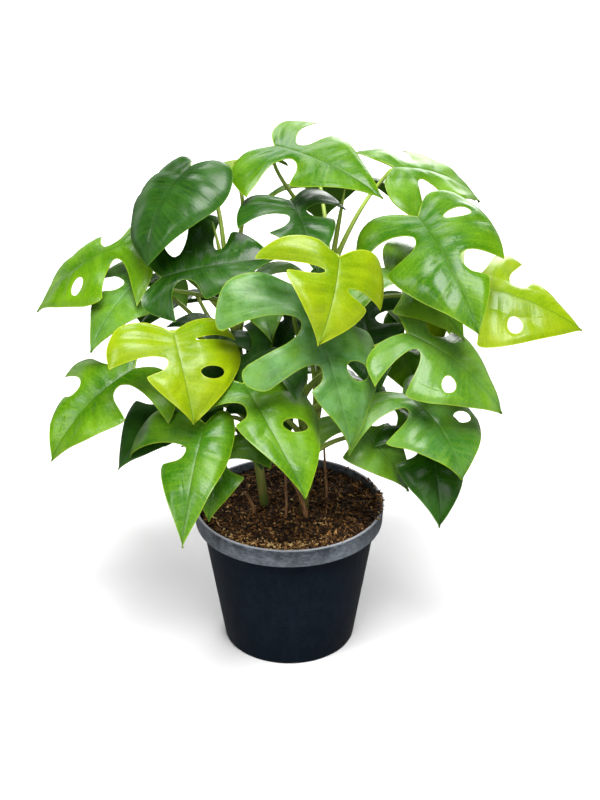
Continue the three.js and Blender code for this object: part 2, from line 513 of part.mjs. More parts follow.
// A stem thins towards its top and swells at each leaf's node.
function stemRadius(shoot) {
  const nodes = LEAVES.filter((leaf) => leaf.shoot === shoot).map((leaf) => leaf.at);
  return (share) => {
    const near = Math.min(...nodes.map((at) => Math.abs(at - share)));
    const even = blend([STEM.footRadius, STEM.topRadius], share);
    return even + STEM.nodeSwell * Math.exp(-((near / 0.03) ** 2));
  };
}

// A petiole leaves its stem steeply and comes up to the blade from behind and below.
function petioleCurve(leaf, stem) {
  const foot = stem.getPointAt(leaf.at);
  const base = new THREE.Vector3(...leaf.base);
  const along = new THREE.Vector3(1, 0, 0).applyEuler(bladeTurn(leaf));
  const up = new THREE.Vector3(0, 0, 1).applyEuler(bladeTurn(leaf));
  const arrival = along.clone().multiplyScalar(0.6).addScaledVector(up, 0.8);
  const below = BLADE.thickness / 2 + CLEARANCE + 0.2 * PETIOLE.topRadius;
  const end = base.clone().addScaledVector(up, -below).addScaledVector(along, -0.5);
  const pull = 0.35 * foot.distanceTo(end);
  const outward = end.clone().sub(foot).setZ(0).multiplyScalar(0.25);
  const leave = foot.clone().add(outward).addScaledVector(stem.getTangentAt(leaf.at), pull);
  const arrive = end.clone().addScaledVector(arrival, -pull);
  return new THREE.CubicBezierCurve3(foot, leave, arrive, end);
}

// The lower part of a petiole is widened by its sheath.
const petioleRadius = (share) =>
  blend([PETIOLE.footRadius, PETIOLE.topRadius], Math.sqrt(share)) +
  PETIOLE.sheath * Math.max(0, 1 - share / 0.35) ** 2;

// The rolled new leaf grows on from the stem's top and thins to a point.
function spikeCurve(number, stem) {
  const start = stem.getPointAt(0.97);
  const tip = new THREE.Vector3(...SHOOTS[number].spike);
  const middle = start.clone().lerp(tip, 0.5).addScaledVector(stem.getTangentAt(1), 4);
  return new THREE.QuadraticBezierCurve3(start, middle, tip);
}

const spikeRadius = (share) => blend([SPIKE.footRadius, SPIKE.topRadius], share * share);

function makeShoot(number) {
  const stem = stemCurve(SHOOTS[number], 0);
  const limbs = [
    limb(stem, stemRadius(number), STEM.sides, STEM.rings),
    limb(spikeCurve(number, stem), spikeRadius, SPIKE.sides, SPIKE.rings),
  ];
  for (const leaf of LEAVES.filter((each) => each.shoot === number))
    limbs.push(limb(petioleCurve(leaf, stem), petioleRadius, PETIOLE.sides, PETIOLE.rings));
  return geometryOf(limbs.map(solidOf).reduce((shoot, next) => shoot.add(next)));
}

// A dry piece runs from under the soil round its bend to its tip.
function dryLimb({ foot, bend, tip, radii }, gap) {
  const start = new THREE.Vector3(foot[0], foot[1], SOIL.level - DRY.depth - gap);
  const ends = [bend, tip].map((place) => new THREE.Vector3(...place));
  const curve = new THREE.QuadraticBezierCurve3(start, ...ends);
  return limb(curve, (share) => blend(radii, share) + gap, DRY.sides, DRY.rings);
}

// ---------------------------------------------------------------- the plant

const finish = (color, roughness) =>
  new THREE.MeshStandardMaterial({ color, roughness, metalness: 0 });
const MATERIALS = {
  pot: finish(0x2b2e33, 0.5),
  soil: finish(0x4a3220, 1),
  stem: finish(0xa8bd62, 0.5),
  dry: finish(0x7a5a3c, 0.9),
  lime: finish(0xa4c91c, 0.35),
  green: finish(0x6fa544, 0.35),
  deep: finish(0x3f7a30, 0.35),
};

const plant = new THREE.Group();

function addPiece(name, geometry, material) {
  const piece = new THREE.Mesh(geometry, material);
  piece.name = name;
  plant.add(piece);
  return piece;
}

addPiece("pot", makePot(), MATERIALS.pot);
const stemHoles = SHOOTS.map((shoot, number) => {
  const around = (share) => stemRadius(number)(share) + CLEARANCE;
  return solidOf(limb(stemCurve(shoot, CLEARANCE), around, STEM.sides, STEM.rings));
});
const dryHoles = DRIES.map((dry) => solidOf(dryLimb(dry, CLEARANCE)));
addPiece("soil", makeSoil([...stemHoles, ...dryHoles]), MATERIALS.soil);
SHOOTS.forEach((shoot, number) => addPiece(shoot.name, makeShoot(number), MATERIALS.stem));
DRIES.forEach((dry) => addPiece(dry.name, geometryOf(solidOf(dryLimb(dry, 0))), MATERIALS.dry));
LEAVES.forEach((leaf, number) => {
  const sheet = thicken(bladeTriangles(leaf, number), BLADE.thickness);
  const blade = addPiece(leaf.name, sheet, MATERIALS[leaf.tone]);
  blade.position.set(...leaf.base);
  blade.rotation.copy(bladeTurn(leaf));
});

export default plant;
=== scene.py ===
import math
from functools import partial

import bpy
import numpy as np
from mathutils import Euler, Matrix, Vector, noise


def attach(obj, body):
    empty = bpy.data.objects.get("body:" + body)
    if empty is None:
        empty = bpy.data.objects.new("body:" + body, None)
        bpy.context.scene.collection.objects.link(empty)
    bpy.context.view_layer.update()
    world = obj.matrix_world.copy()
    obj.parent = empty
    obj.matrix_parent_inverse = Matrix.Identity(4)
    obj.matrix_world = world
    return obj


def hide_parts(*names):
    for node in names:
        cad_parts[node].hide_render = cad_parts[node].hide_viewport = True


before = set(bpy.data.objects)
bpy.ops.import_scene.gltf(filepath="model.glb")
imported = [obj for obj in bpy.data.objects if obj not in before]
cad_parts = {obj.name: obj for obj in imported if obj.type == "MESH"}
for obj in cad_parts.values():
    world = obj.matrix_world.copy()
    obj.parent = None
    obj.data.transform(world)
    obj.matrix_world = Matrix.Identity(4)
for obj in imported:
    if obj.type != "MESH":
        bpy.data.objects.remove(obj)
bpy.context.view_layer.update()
mm = 0.001
random = np.random.default_rng(11)
noise.seed_set(11)


def activate(*pieces):
    bpy.ops.object.select_all(action="DESELECT")
    for piece in pieces:
        piece.select_set(True)
    bpy.context.view_layer.objects.active = pieces[0]


def applyModifier(piece, kind, **settings):
    activate(piece)
    modifier = piece.modifiers.new(kind.title(), kind)
    for name, value in settings.items():
        setattr(modifier, name, value)
    bpy.ops.object.modifier_apply(modifier=modifier.name)


def joined(name, pieces):
    activate(*pieces)
    if len(pieces) > 1:
        bpy.ops.object.join()
    pieces[0].name = name
    pieces[0].data.name = name
    return pieces[0]


# Runs steps of edit mode on the whole of a piece.
def edit(piece, *steps):
    activate(piece)
    bpy.ops.object.mode_set(mode="EDIT")
    bpy.ops.mesh.select_all(action="SELECT")
    for step in steps:
        step()
    bpy.ops.object.mode_set(mode="OBJECT")


def mergeDoubles(piece, distance):
    edit(piece, lambda: bpy.ops.mesh.remove_doubles(threshold=distance))


# Closes the open ends of a shell and turns its faces outwards.
def closeEnds(piece):
    edit(piece, lambda: bpy.ops.mesh.fill_holes(sides=0),
         lambda: bpy.ops.mesh.normals_make_consistent(inside=False))


def smooth(piece, degrees):
    activate(piece)
    bpy.ops.object.shade_smooth_by_angle(angle=math.radians(degrees))


def positionsOf(piece):
    places = np.empty(len(piece.data.vertices) * 3, np.float32)
    piece.data.vertices.foreach_get("co", places)
    return places.reshape(-1, 3)


def moveVertices(piece, places):
    piece.data.vertices.foreach_set("co", np.asarray(places, np.float32).ravel())
    piece.data.update()


def setAttribute(piece, name, values):
    layer = piece.data.attributes.get(name) or piece.data.attributes.new(name, "FLOAT", "POINT")
    layer.data.foreach_set("value", np.asarray(values, np.float32).ravel())


# A flat sheet of faces whose vertices are then laid on a surface: columns run along its first axis.
def addSheet(places, uv):
    rows, columns = places.shape[:2]
    bpy.ops.mesh.primitive_grid_add(x_subdivisions=columns - 1, y_subdivisions=rows - 1, size=0.02)
    sheet = bpy.context.object
    moveVertices(sheet, places.reshape(-1, 3))
    corners = np.empty(len(sheet.data.loops), np.int32)
    sheet.data.loops.foreach_get("vertex_index", corners)
    sheet.data.uv_layers[0].data.foreach_set("uv", uv.reshape(-1, 2)[corners].ravel().astype(np.float32))
    return sheet


def newObject(name, data):
    made = bpy.data.objects.new(name, data)
    bpy.context.scene.collection.objects.link(made)
    return made


def finish(piece, node, material):
    piece.data.materials.clear()
    piece.data.materials.append(material)
    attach(piece, "root")
    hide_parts(node)


def linear(hexCode):
    parts = [int(hexCode[i:i + 2], 16) / 255 for i in (1, 3, 5)]
    return tuple(p / 12.92 if p <= 0.04045 else ((p + 0.055) / 1.055) ** 2.4 for p in parts) + (1.0,)


# Adds a node with its settings, its links and values by input name or number, and the stops of a colour
# ramp, and gives back one of its outputs. A colour may be a hex code.
def addNode(tree, kind, inputs=None, out=0, stops=(), **settings):
    node = tree.nodes.new("ShaderNode" + kind)
    for name, value in settings.items():
        setattr(node, name, value)
    for name, value in (inputs or {}).items():
        if isinstance(value, bpy.types.NodeSocket):
            tree.links.new(value, node.inputs[name])
        else:
            node.inputs[name].default_value = linear(value) if isinstance(value, str) else value
    if stops:
        ramp = node.color_ramp.elements
        while len(ramp) < len(stops):
            ramp.new(0.5)
        for element, (place, colour) in zip(ramp, stops):
            element.position = place
            element.color = linear(colour) if isinstance(colour, str) else colour
    return node.outputs[out] if node.outputs else None


# A mix takes two colours on inputs 6 and 7 and its share on 0. A map range goes from 1, 2 to 3, 4.
colourMix = dict(data_type="RGBA", out=2)


# A material with the surface that a function builds from nodes.
def newMaterial(name, surface, *details):
    material = bpy.data.materials.new(name)
    material.use_nodes = True
    material.node_tree.nodes.clear()
    add = partial(addNode, material.node_tree)
    add("OutputMaterial", {"Surface": surface(add, *details)})
    return material


leafTones = {
    # older and younger tissue, painted crease shade, margin with painted glow, underside, light that comes
    # through
    "lime": dict(body="#5E8800", light="#98AE04", crease="#4A7000", margin="#BAC828", under="#809A28",
                 through="#A0C800"),
    "green": dict(body="#2A6402", light="#6C9C08", crease="#225202", margin="#98B628", under="#64882C",
                  through="#7EBA00"),
    "deep": dict(body="#0C3602", light="#2A6004", crease="#0A2C02", margin="#628C1E", under="#426A28",
                 through="#489004"),
}


# Living aroid leaf: a smooth, waxen skin over soft tissue. Its broad sheen is drawn out along the fine side
# veins, the midrib's crease has painted shade, the thin pale margin is painted brighter as if lit through,
# the underside is paler and duller, and some leaves carry a painted milky sheen on the upper skin.
def leafCuticle(add, colours):
    edge, vein, rib, under, shade, paintedSheen = (
        add("Attribute", attribute_name=name, out="Fac")
        for name in ("edge", "vein", "rib", "under", "shade", "paintedSheen"))
    place = add("TexCoord", out="Object")
    flat = add("UVMap", uv_map="UVMap")
    # patches of about 22 mm, and veinlets that run out from the midrib, 1.2 mm apart
    patches = add("TexNoise", {"Vector": place, "Scale": 1 / 0.022, "Detail": 2.0})
    along = add("Mapping", {"Vector": flat, "Scale": (5.0, 0.5, 1.0)})
    veinlets = add("TexNoise", {"Vector": along, "Scale": 1.0, "Detail": 3.0})
    # dimples of the skin: real ones are 0.3 mm, and these are 1.3 mm, to show
    cells = add("TexNoise", {"Vector": place, "Scale": 1 / 0.0013, "Detail": 3.0})

    patchShare = add("MapRange", {0: patches, 1: 0.3, 2: 0.7, 3: 0.1, 4: 0.75})
    mottle = add("MapRange", {0: cells, 1: 0.3, 2: 0.7, 3: -0.22, 4: 0.22})
    mottled = add("Math", {0: patchShare, 1: mottle}, operation="ADD")
    ageShare = add("Math", {0: mottled, 1: shade}, operation="ADD", use_clamp=True)
    tissue = add("Mix", {0: ageShare, 6: colours["body"], 7: colours["light"]}, **colourMix)
    # the veinlets and the side veins are hardly lighter than the tissue
    streaks = add("MapRange", {0: veinlets, 1: 0.42, 2: 0.72, 4: 0.16})
    sideLine = add("MapRange", {0: vein, 1: 0.2, 2: 1.0, 3: 0.14, 4: 0.0})
    ribSide = add("MapRange", {0: rib, 1: 0.7, 2: 1.6, 3: 0.1, 4: 0.0})
    lines = add("Math", {0: sideLine, 1: ribSide}, operation="MAXIMUM")
    linesAll = add("Math", {0: lines, 1: streaks}, operation="MAXIMUM")
    veined = add("Mix", {0: linesAll, 6: tissue, 7: colours["margin"]}, **colourMix)
    # painted shade: within 0.6 mm of the midrib its groove is darkened towards the crease colour
    crease = add("MapRange", {0: rib, 1: 0.15, 2: 0.6, 3: 0.6, 4: 0.0})
    creaseShaded = add("Mix", {0: crease, 6: veined, 7: colours["crease"]}, **colourMix)
    # a painted sheen: in patches of about 9 mm, a milky grey-green standing in for a broad reflection greys
    # the upper skin
    sheenNoise = add("TexNoise", {"Vector": place, "Scale": 1 / 0.009, "Detail": 4.0})
    sheenPatchShare = add("MapRange", {0: sheenNoise, 1: 0.35, 2: 0.65, 3: 0.25, 4: 1.0})
    sheenShare = add("Math", {0: sheenPatchShare, 1: paintedSheen}, operation="MULTIPLY")
    withPaintedSheen = add("Mix", {0: sheenShare, 6: creaseShaded, 7: "#86B87E"}, **colourMix)
    pale = add("Mix", {0: under, 6: withPaintedSheen, 7: colours["under"]}, **colourMix)
    # the margin: its own paler tissue, painted brighter still as if light came through the thin edge
    rim = add("MapRange", {0: edge, 1: 0.15, 2: 0.65, 3: 0.7, 4: 0.0})
    skin = add("Mix", {0: rim, 6: pale, 7: colours["margin"]}, **colourMix)

    veinletBump = add("Bump", {"Height": veinlets, "Strength": 0.42, "Distance": 0.32 * mm})
    cellBump = add("Bump", {"Height": cells, "Strength": 0.4, "Distance": 0.22 * mm, "Normal": veinletBump})
    gloss = add("MapRange", {0: patches, 1: 0.3, 2: 0.7, 3: 0.24, 4: 0.4})
    dull = add("Math", {0: under, 1: 0.14, 2: gloss}, operation="MULTIPLY_ADD")
    skinShader = add("BsdfPrincipled", {"Base Color": skin, "Roughness": dull, "IOR": 1.4,
                                        "Normal": cellBump})
    glow = add("BsdfTranslucent", {"Color": colours["through"], "Normal": cellBump})
    return add("MixShader", {0: 0.16, 1: skinShader, 2: glow})


# Young aroid stem: pale, ribbed along its length, with greener ribs, and brownish towards the soil.
def stemGreen(add):
    place = add("TexCoord", out="Object")
    around = add("UVMap", uv_map="UVMap")
    age = add("Attribute", attribute_name="age", out="Fac")
    # ribs 0.8 mm apart round the stem, many times longer than wide
    ribScale = add("Mapping", {"Vector": around, "Scale": (12.0, 0.35, 1.0)})
    ribs = add("TexNoise", {"Vector": ribScale, "Scale": 1.0, "Detail": 2.0})
    ribShare = add("MapRange", {0: ribs, 1: 0.35, 2: 0.65})
    young = add("Mix", {0: ribShare, 6: "#7FA62C", 7: "#C6D66A"}, **colourMix)
    blotches = add("TexNoise", {"Vector": place, "Scale": 1 / 0.006, "Detail": 4.0})
    worn = add("MapRange", {0: blotches, 1: 0.4, 2: 0.62})
    old = add("Mix", {0: worn, 6: "#44561C", 7: "#6B5631"}, **colourMix)
    colour = add("Mix", {0: age, 6: young, 7: old}, **colourMix)
    bump = add("Bump", {"Height": ribs, "Strength": 0.5, "Distance": 0.25 * mm})
    return add("BsdfPrincipled", {"Base Color": colour, "Roughness": 0.42, "IOR": 1.45, "Normal": bump})


# Dried leaf sheath and root: papery, with long fibres that catch the light.
def drySheath(add):
    around = add("UVMap", uv_map="UVMap")
    fibreScale = add("Mapping", {"Vector": around, "Scale": (16.0, 1.2, 1.0)})
    fibres = add("TexNoise", {"Vector": fibreScale, "Scale": 1.0, "Detail": 4.0})
    colour = add("ValToRGB", {0: fibres}, stops=[(0.3, "#3B2413"), (0.5, "#7A5230"),
                                                 (0.7, "#C49A66")])
    bump = add("Bump", {"Height": fibres, "Strength": 0.8, "Distance": 0.3 * mm})
    return add("BsdfPrincipled", {"Base Color": colour, "Roughness": 0.75, "Normal": bump})


# Moist peat: dark and dull, with light fibres. shade is one value for each crumb.
def moistPeat(add):
    place = add("TexCoord", out="Object")
    shade = add("Attribute", attribute_name="shade", out="Fac")
    grains = add("TexNoise", {"Vector": place, "Scale": 1 / 0.0016, "Detail": 5.0, "Roughness": 0.7})
    spread = add("MapRange", {0: grains, 1: 0.3, 2: 0.7, 3: -0.2, 4: 0.2})
    share = add("Math", {0: shade, 1: spread}, operation="ADD", use_clamp=True)
    colour = add("ValToRGB", {0: share}, stops=[(0.0, "#0A0502"), (0.32, "#281708"),
                                                (0.58, "#60401E"), (0.8, "#A9783E"),
                                                (1.0, "#E2C384")])
    bump = add("Bump", {"Height": grains, "Strength": 0.9, "Distance": 0.8 * mm})
    return add("BsdfPrincipled", {"Base Color": colour, "Roughness": 0.85, "Normal": bump,
                                  "Specular IOR Level": 0.3})


# Recycled polypropylene, thermoformed: blue-black and satin, with faint draw marks down the wall. The rim
# band is painted a lighter grey, as a lit band reflecting the room would look, streaked with rubbed wear and
# dust; its top edge has a painted highlight line.
def mouldedPolypropylene(add):
    place = add("TexCoord", out="Object")
    # draw marks 3 mm apart and ten times longer, rubbed patches of about 9 mm, and moulding grain of 0.7 mm
    drawn = add("Mapping", {"Vector": place, "Scale": (1 / 0.003, 1 / 0.003, 1 / 0.03)})
    marks = add("TexNoise", {"Vector": drawn, "Scale": 1.0, "Detail": 3.0})
    rubbed = add("TexNoise", {"Vector": place, "Scale": 1 / 0.009, "Detail": 7.0, "Roughness": 0.6})
    height = add("SeparateXYZ", {0: place}, out="Z")
    # scuffs 1 mm high that run round it
    scuffScale = add("Mapping", {"Vector": place, "Scale": (1 / 0.003, 1 / 0.003, 1 / 0.001)})
    scuffs = add("TexNoise", {"Vector": scuffScale, "Scale": 1.0, "Detail": 5.0})
    worn = add("Math", {0: scuffs, 1: rubbed}, operation="MULTIPLY")
    # painted shading: the rim band is lighter towards its lower edge, added to the scuffed wear
    low = add("MapRange", {0: height, 1: 83 * mm, 2: 95 * mm, 3: 0.4, 4: -0.1})
    patchy = add("MapRange", {0: worn, 1: 0.15, 2: 0.45})
    wearAndShading = add("Math", {0: patchy, 1: low}, operation="ADD", use_clamp=True)
    bandShare = add("MapRange", {0: height, 1: 82.6 * mm, 2: 83.4 * mm})
    wall = add("Mix", {0: wearAndShading, 6: "#08131F", 7: "#16212D"}, **colourMix)
    # painted light: the rim band's grey is far lighter than the wall's, as a lit, reflecting band looks, with
    # wear mixed over it
    rimBandLitAndWorn = add("Mix", {0: wearAndShading, 6: "#3C434B", 7: "#8A9199"}, **colourMix)
    # painted highlight: a pale line along the top edge of the rim
    lipHighlightShare = add("MapRange", {0: height, 1: 94.3 * mm, 2: 94.8 * mm, 4: 0.8})
    lipHighlighted = add("Mix", {0: lipHighlightShare, 6: rimBandLitAndWorn, 7: "#9599A0"}, **colourMix)
    colour = add("Mix", {0: bandShare, 6: wall, 7: lipHighlighted}, **colourMix)
    gloss = add("MapRange", {0: marks, 1: 0.3, 2: 0.7, 3: 0.3, 4: 0.46})
    grain = add("TexNoise", {"Vector": place, "Scale": 1 / 0.0007, "Detail": 1.0})
    markBump = add("Bump", {"Height": marks, "Strength": 0.35, "Distance": 0.3 * mm})
    grainBump = add("Bump", {"Height": grain, "Strength": 0.3, "Distance": 0.06 * mm, "Normal": markBump})
    return add("BsdfPrincipled", {"Base Color": colour, "Roughness": gloss, "IOR": 1.49, "Normal": grainBump})


leafMaterials = {tone: newMaterial("leafCuticle" + tone.title(), leafCuticle, leafTones[tone])
                 for tone in leafTones}
stemMaterial = newMaterial("stemGreen", stemGreen)
dryMaterial = newMaterial("drySheath", drySheath)
peatMaterial = newMaterial("moistPeat", moistPeat)
potMaterial = newMaterial("mouldedPolypropylene", mouldedPolypropylene)
print("materials ready")


# aim, distance and lens in mm, the elevation in degrees, the farthest depth seen in metres
view = dict(aim=(7, 10, 162), distance=1050, elevation=26.5, lens=76, farthest=50)
# Place, aim and size in metres, power in watts. The sun, a wide soft panel that makes the sheen on the
# leaves and keeps the floor white, has its size in degrees and its power in W/m2.
lamps = [
    dict(name="overheadPanel", kind="SUN", place=(0.15, -0.5, 1.6), aim=(0, 0, 0.2), size=36, power=5.5),
    dict(name="backSoftbox", kind="AREA", place=(-0.3, 1.5, 1.9), aim=(0, 0.3, 0.1), size=1.4, power=30),
    dict(name="backFill", kind="AREA", place=(0.5, 1.8, 0.8), aim=(0, 0, 0.15), size=1.0, power=16),
    dict(name="keySoftbox", kind="AREA", place=(-1.3, -0.9, 1.2), aim=(0, 0, 0.2), size=0.6, power=12),
    dict(name="frontSoftbox", kind="AREA", place=(0.6, -1.8, 0.8), aim=(0, 0, 0.1), size=1.0, power=9),
]


def standAt(name, data, place, aim):
    holder = newObject(name, data)
    holder.location = place
    holder.rotation_euler = (Vector(aim) - holder.location).to_track_quat("-Z", "Y").to_euler()
    return holder


aim = Vector(view["aim"]) * mm
tilt = math.radians(view["elevation"])
eye = aim + Vector((0, -math.cos(tilt), math.sin(tilt))) * view["distance"] * mm
camera = standAt("camera", bpy.data.cameras.new("camera"), eye, aim)
camera.data.lens = view["lens"]
camera.data.clip_end = view["farthest"]
bpy.context.scene.camera = camera

for lamp in lamps:
    light = bpy.data.lights.new(lamp["name"], lamp["kind"])
    light.energy = lamp["power"]
    if lamp["kind"] == "SUN":
        light.angle = math.radians(lamp["size"])
    else:
        light.shape = "DISK"
        light.size = lamp["size"]
    standAt(lamp["name"], light, lamp["place"], lamp["aim"])

# the brightness of the room, from straight down, 0, by the horizon, 0.5, to straight up, 1
roomGlow = [(0.08, 0.04), (0.42, 0.2), (0.5, 1.05), (0.53, 1.05), (0.58, 0.07), (1.0, 0.09)]
world = bpy.data.worlds.new("studio")
world.use_nodes = True
room = world.node_tree
facing = addNode(room, "TexCoord", out="Generated")
height = addNode(room, "SeparateXYZ", {0: facing}, out="Z")
share = addNode(room, "MapRange", {0: height, 1: -1.0, 2: 1.0})
stops = [(place, (grey, grey, grey, 1)) for place, grey in roomGlow]
glow = addNode(room, "ValToRGB", {0: share}, stops=stops)
room.links.new(glow, room.nodes["Background"].inputs["Color"])
bpy.context.scene.world = world
bpy.context.scene.view_settings.view_transform = "Standard"

board = dict(size=60, colour="#D8D8D8", roughness=0.9)


# Painted fibreboard: matt and even.
def matteBoard(add):
    return add("BsdfPrincipled", {"Base Color": board["colour"], "Roughness": board["roughness"]})


bpy.ops.mesh.primitive_plane_add(size=board["size"])
floor = bpy.context.object
floor.name = "studioFloor"
floor.data.materials.append(newMaterial("matteBoard", matteBoard))
# the board lights nothing from below, as the black tray a plant is sold in does not
floor.visible_diffuse = False
floor.visible_glossy = False
print("camera, lights and floor ready")


# heights, widths and steps in mm; rearEnd and frontEnd pull in the corners of a round and a pointed lobe,
# and paintedSheen is the most painted milky sheen, standing in for a broad reflection, that each tone gets
blade = dict(thickness=0.5, fineColumns=46, frames=96, holeEnd=0.8, rearEnd=(0.16, 0.12),
             frontEnd=(0.14, -0.03), veinBow=0.06, veinsPerSide=7, veinDepth=0.5, veinWidth=2.6, groove=0.24,
             grooveWidth=0.8, cup=2.8, curl=0.8, curlWidth=2.2, wave=2.7, waveRate=0.04, ripple=2.4,
             rippleStep=14, rippleWidth=7, paintedSheen=dict(lime=0.06, green=0.5, deep=0.2))
# the rows of a blade from the midrib to the bottoms of its cuts, and from there to the margin
innerShares = np.array([0, 0.05, 0.13, 0.25, 0.4, 0.6, 0.8, 1])
outerShares = np.sqrt([0.004, 0.015, 0.035, 0.065, 0.1, 0.15, 0.21, 0.28, 0.36, 0.44, 0.52, 0.58, 0.615,
                       0.633, 0.64, 0.67, 0.72, 0.78, 0.84, 0.9, 0.945, 0.975, 0.99, 1])
# one side of an uncut blade, from the petiole round to the apex: x in lengths, y in half widths
marginPoints = np.array([(0, 0), (-0.16, 0.32), (-0.18, 0.74), (0.01, 1), (0.23, 1.03), (0.43, 0.92),
                         (0.6, 0.71), (0.77, 0.45), (0.91, 0.19), (1, 0)])
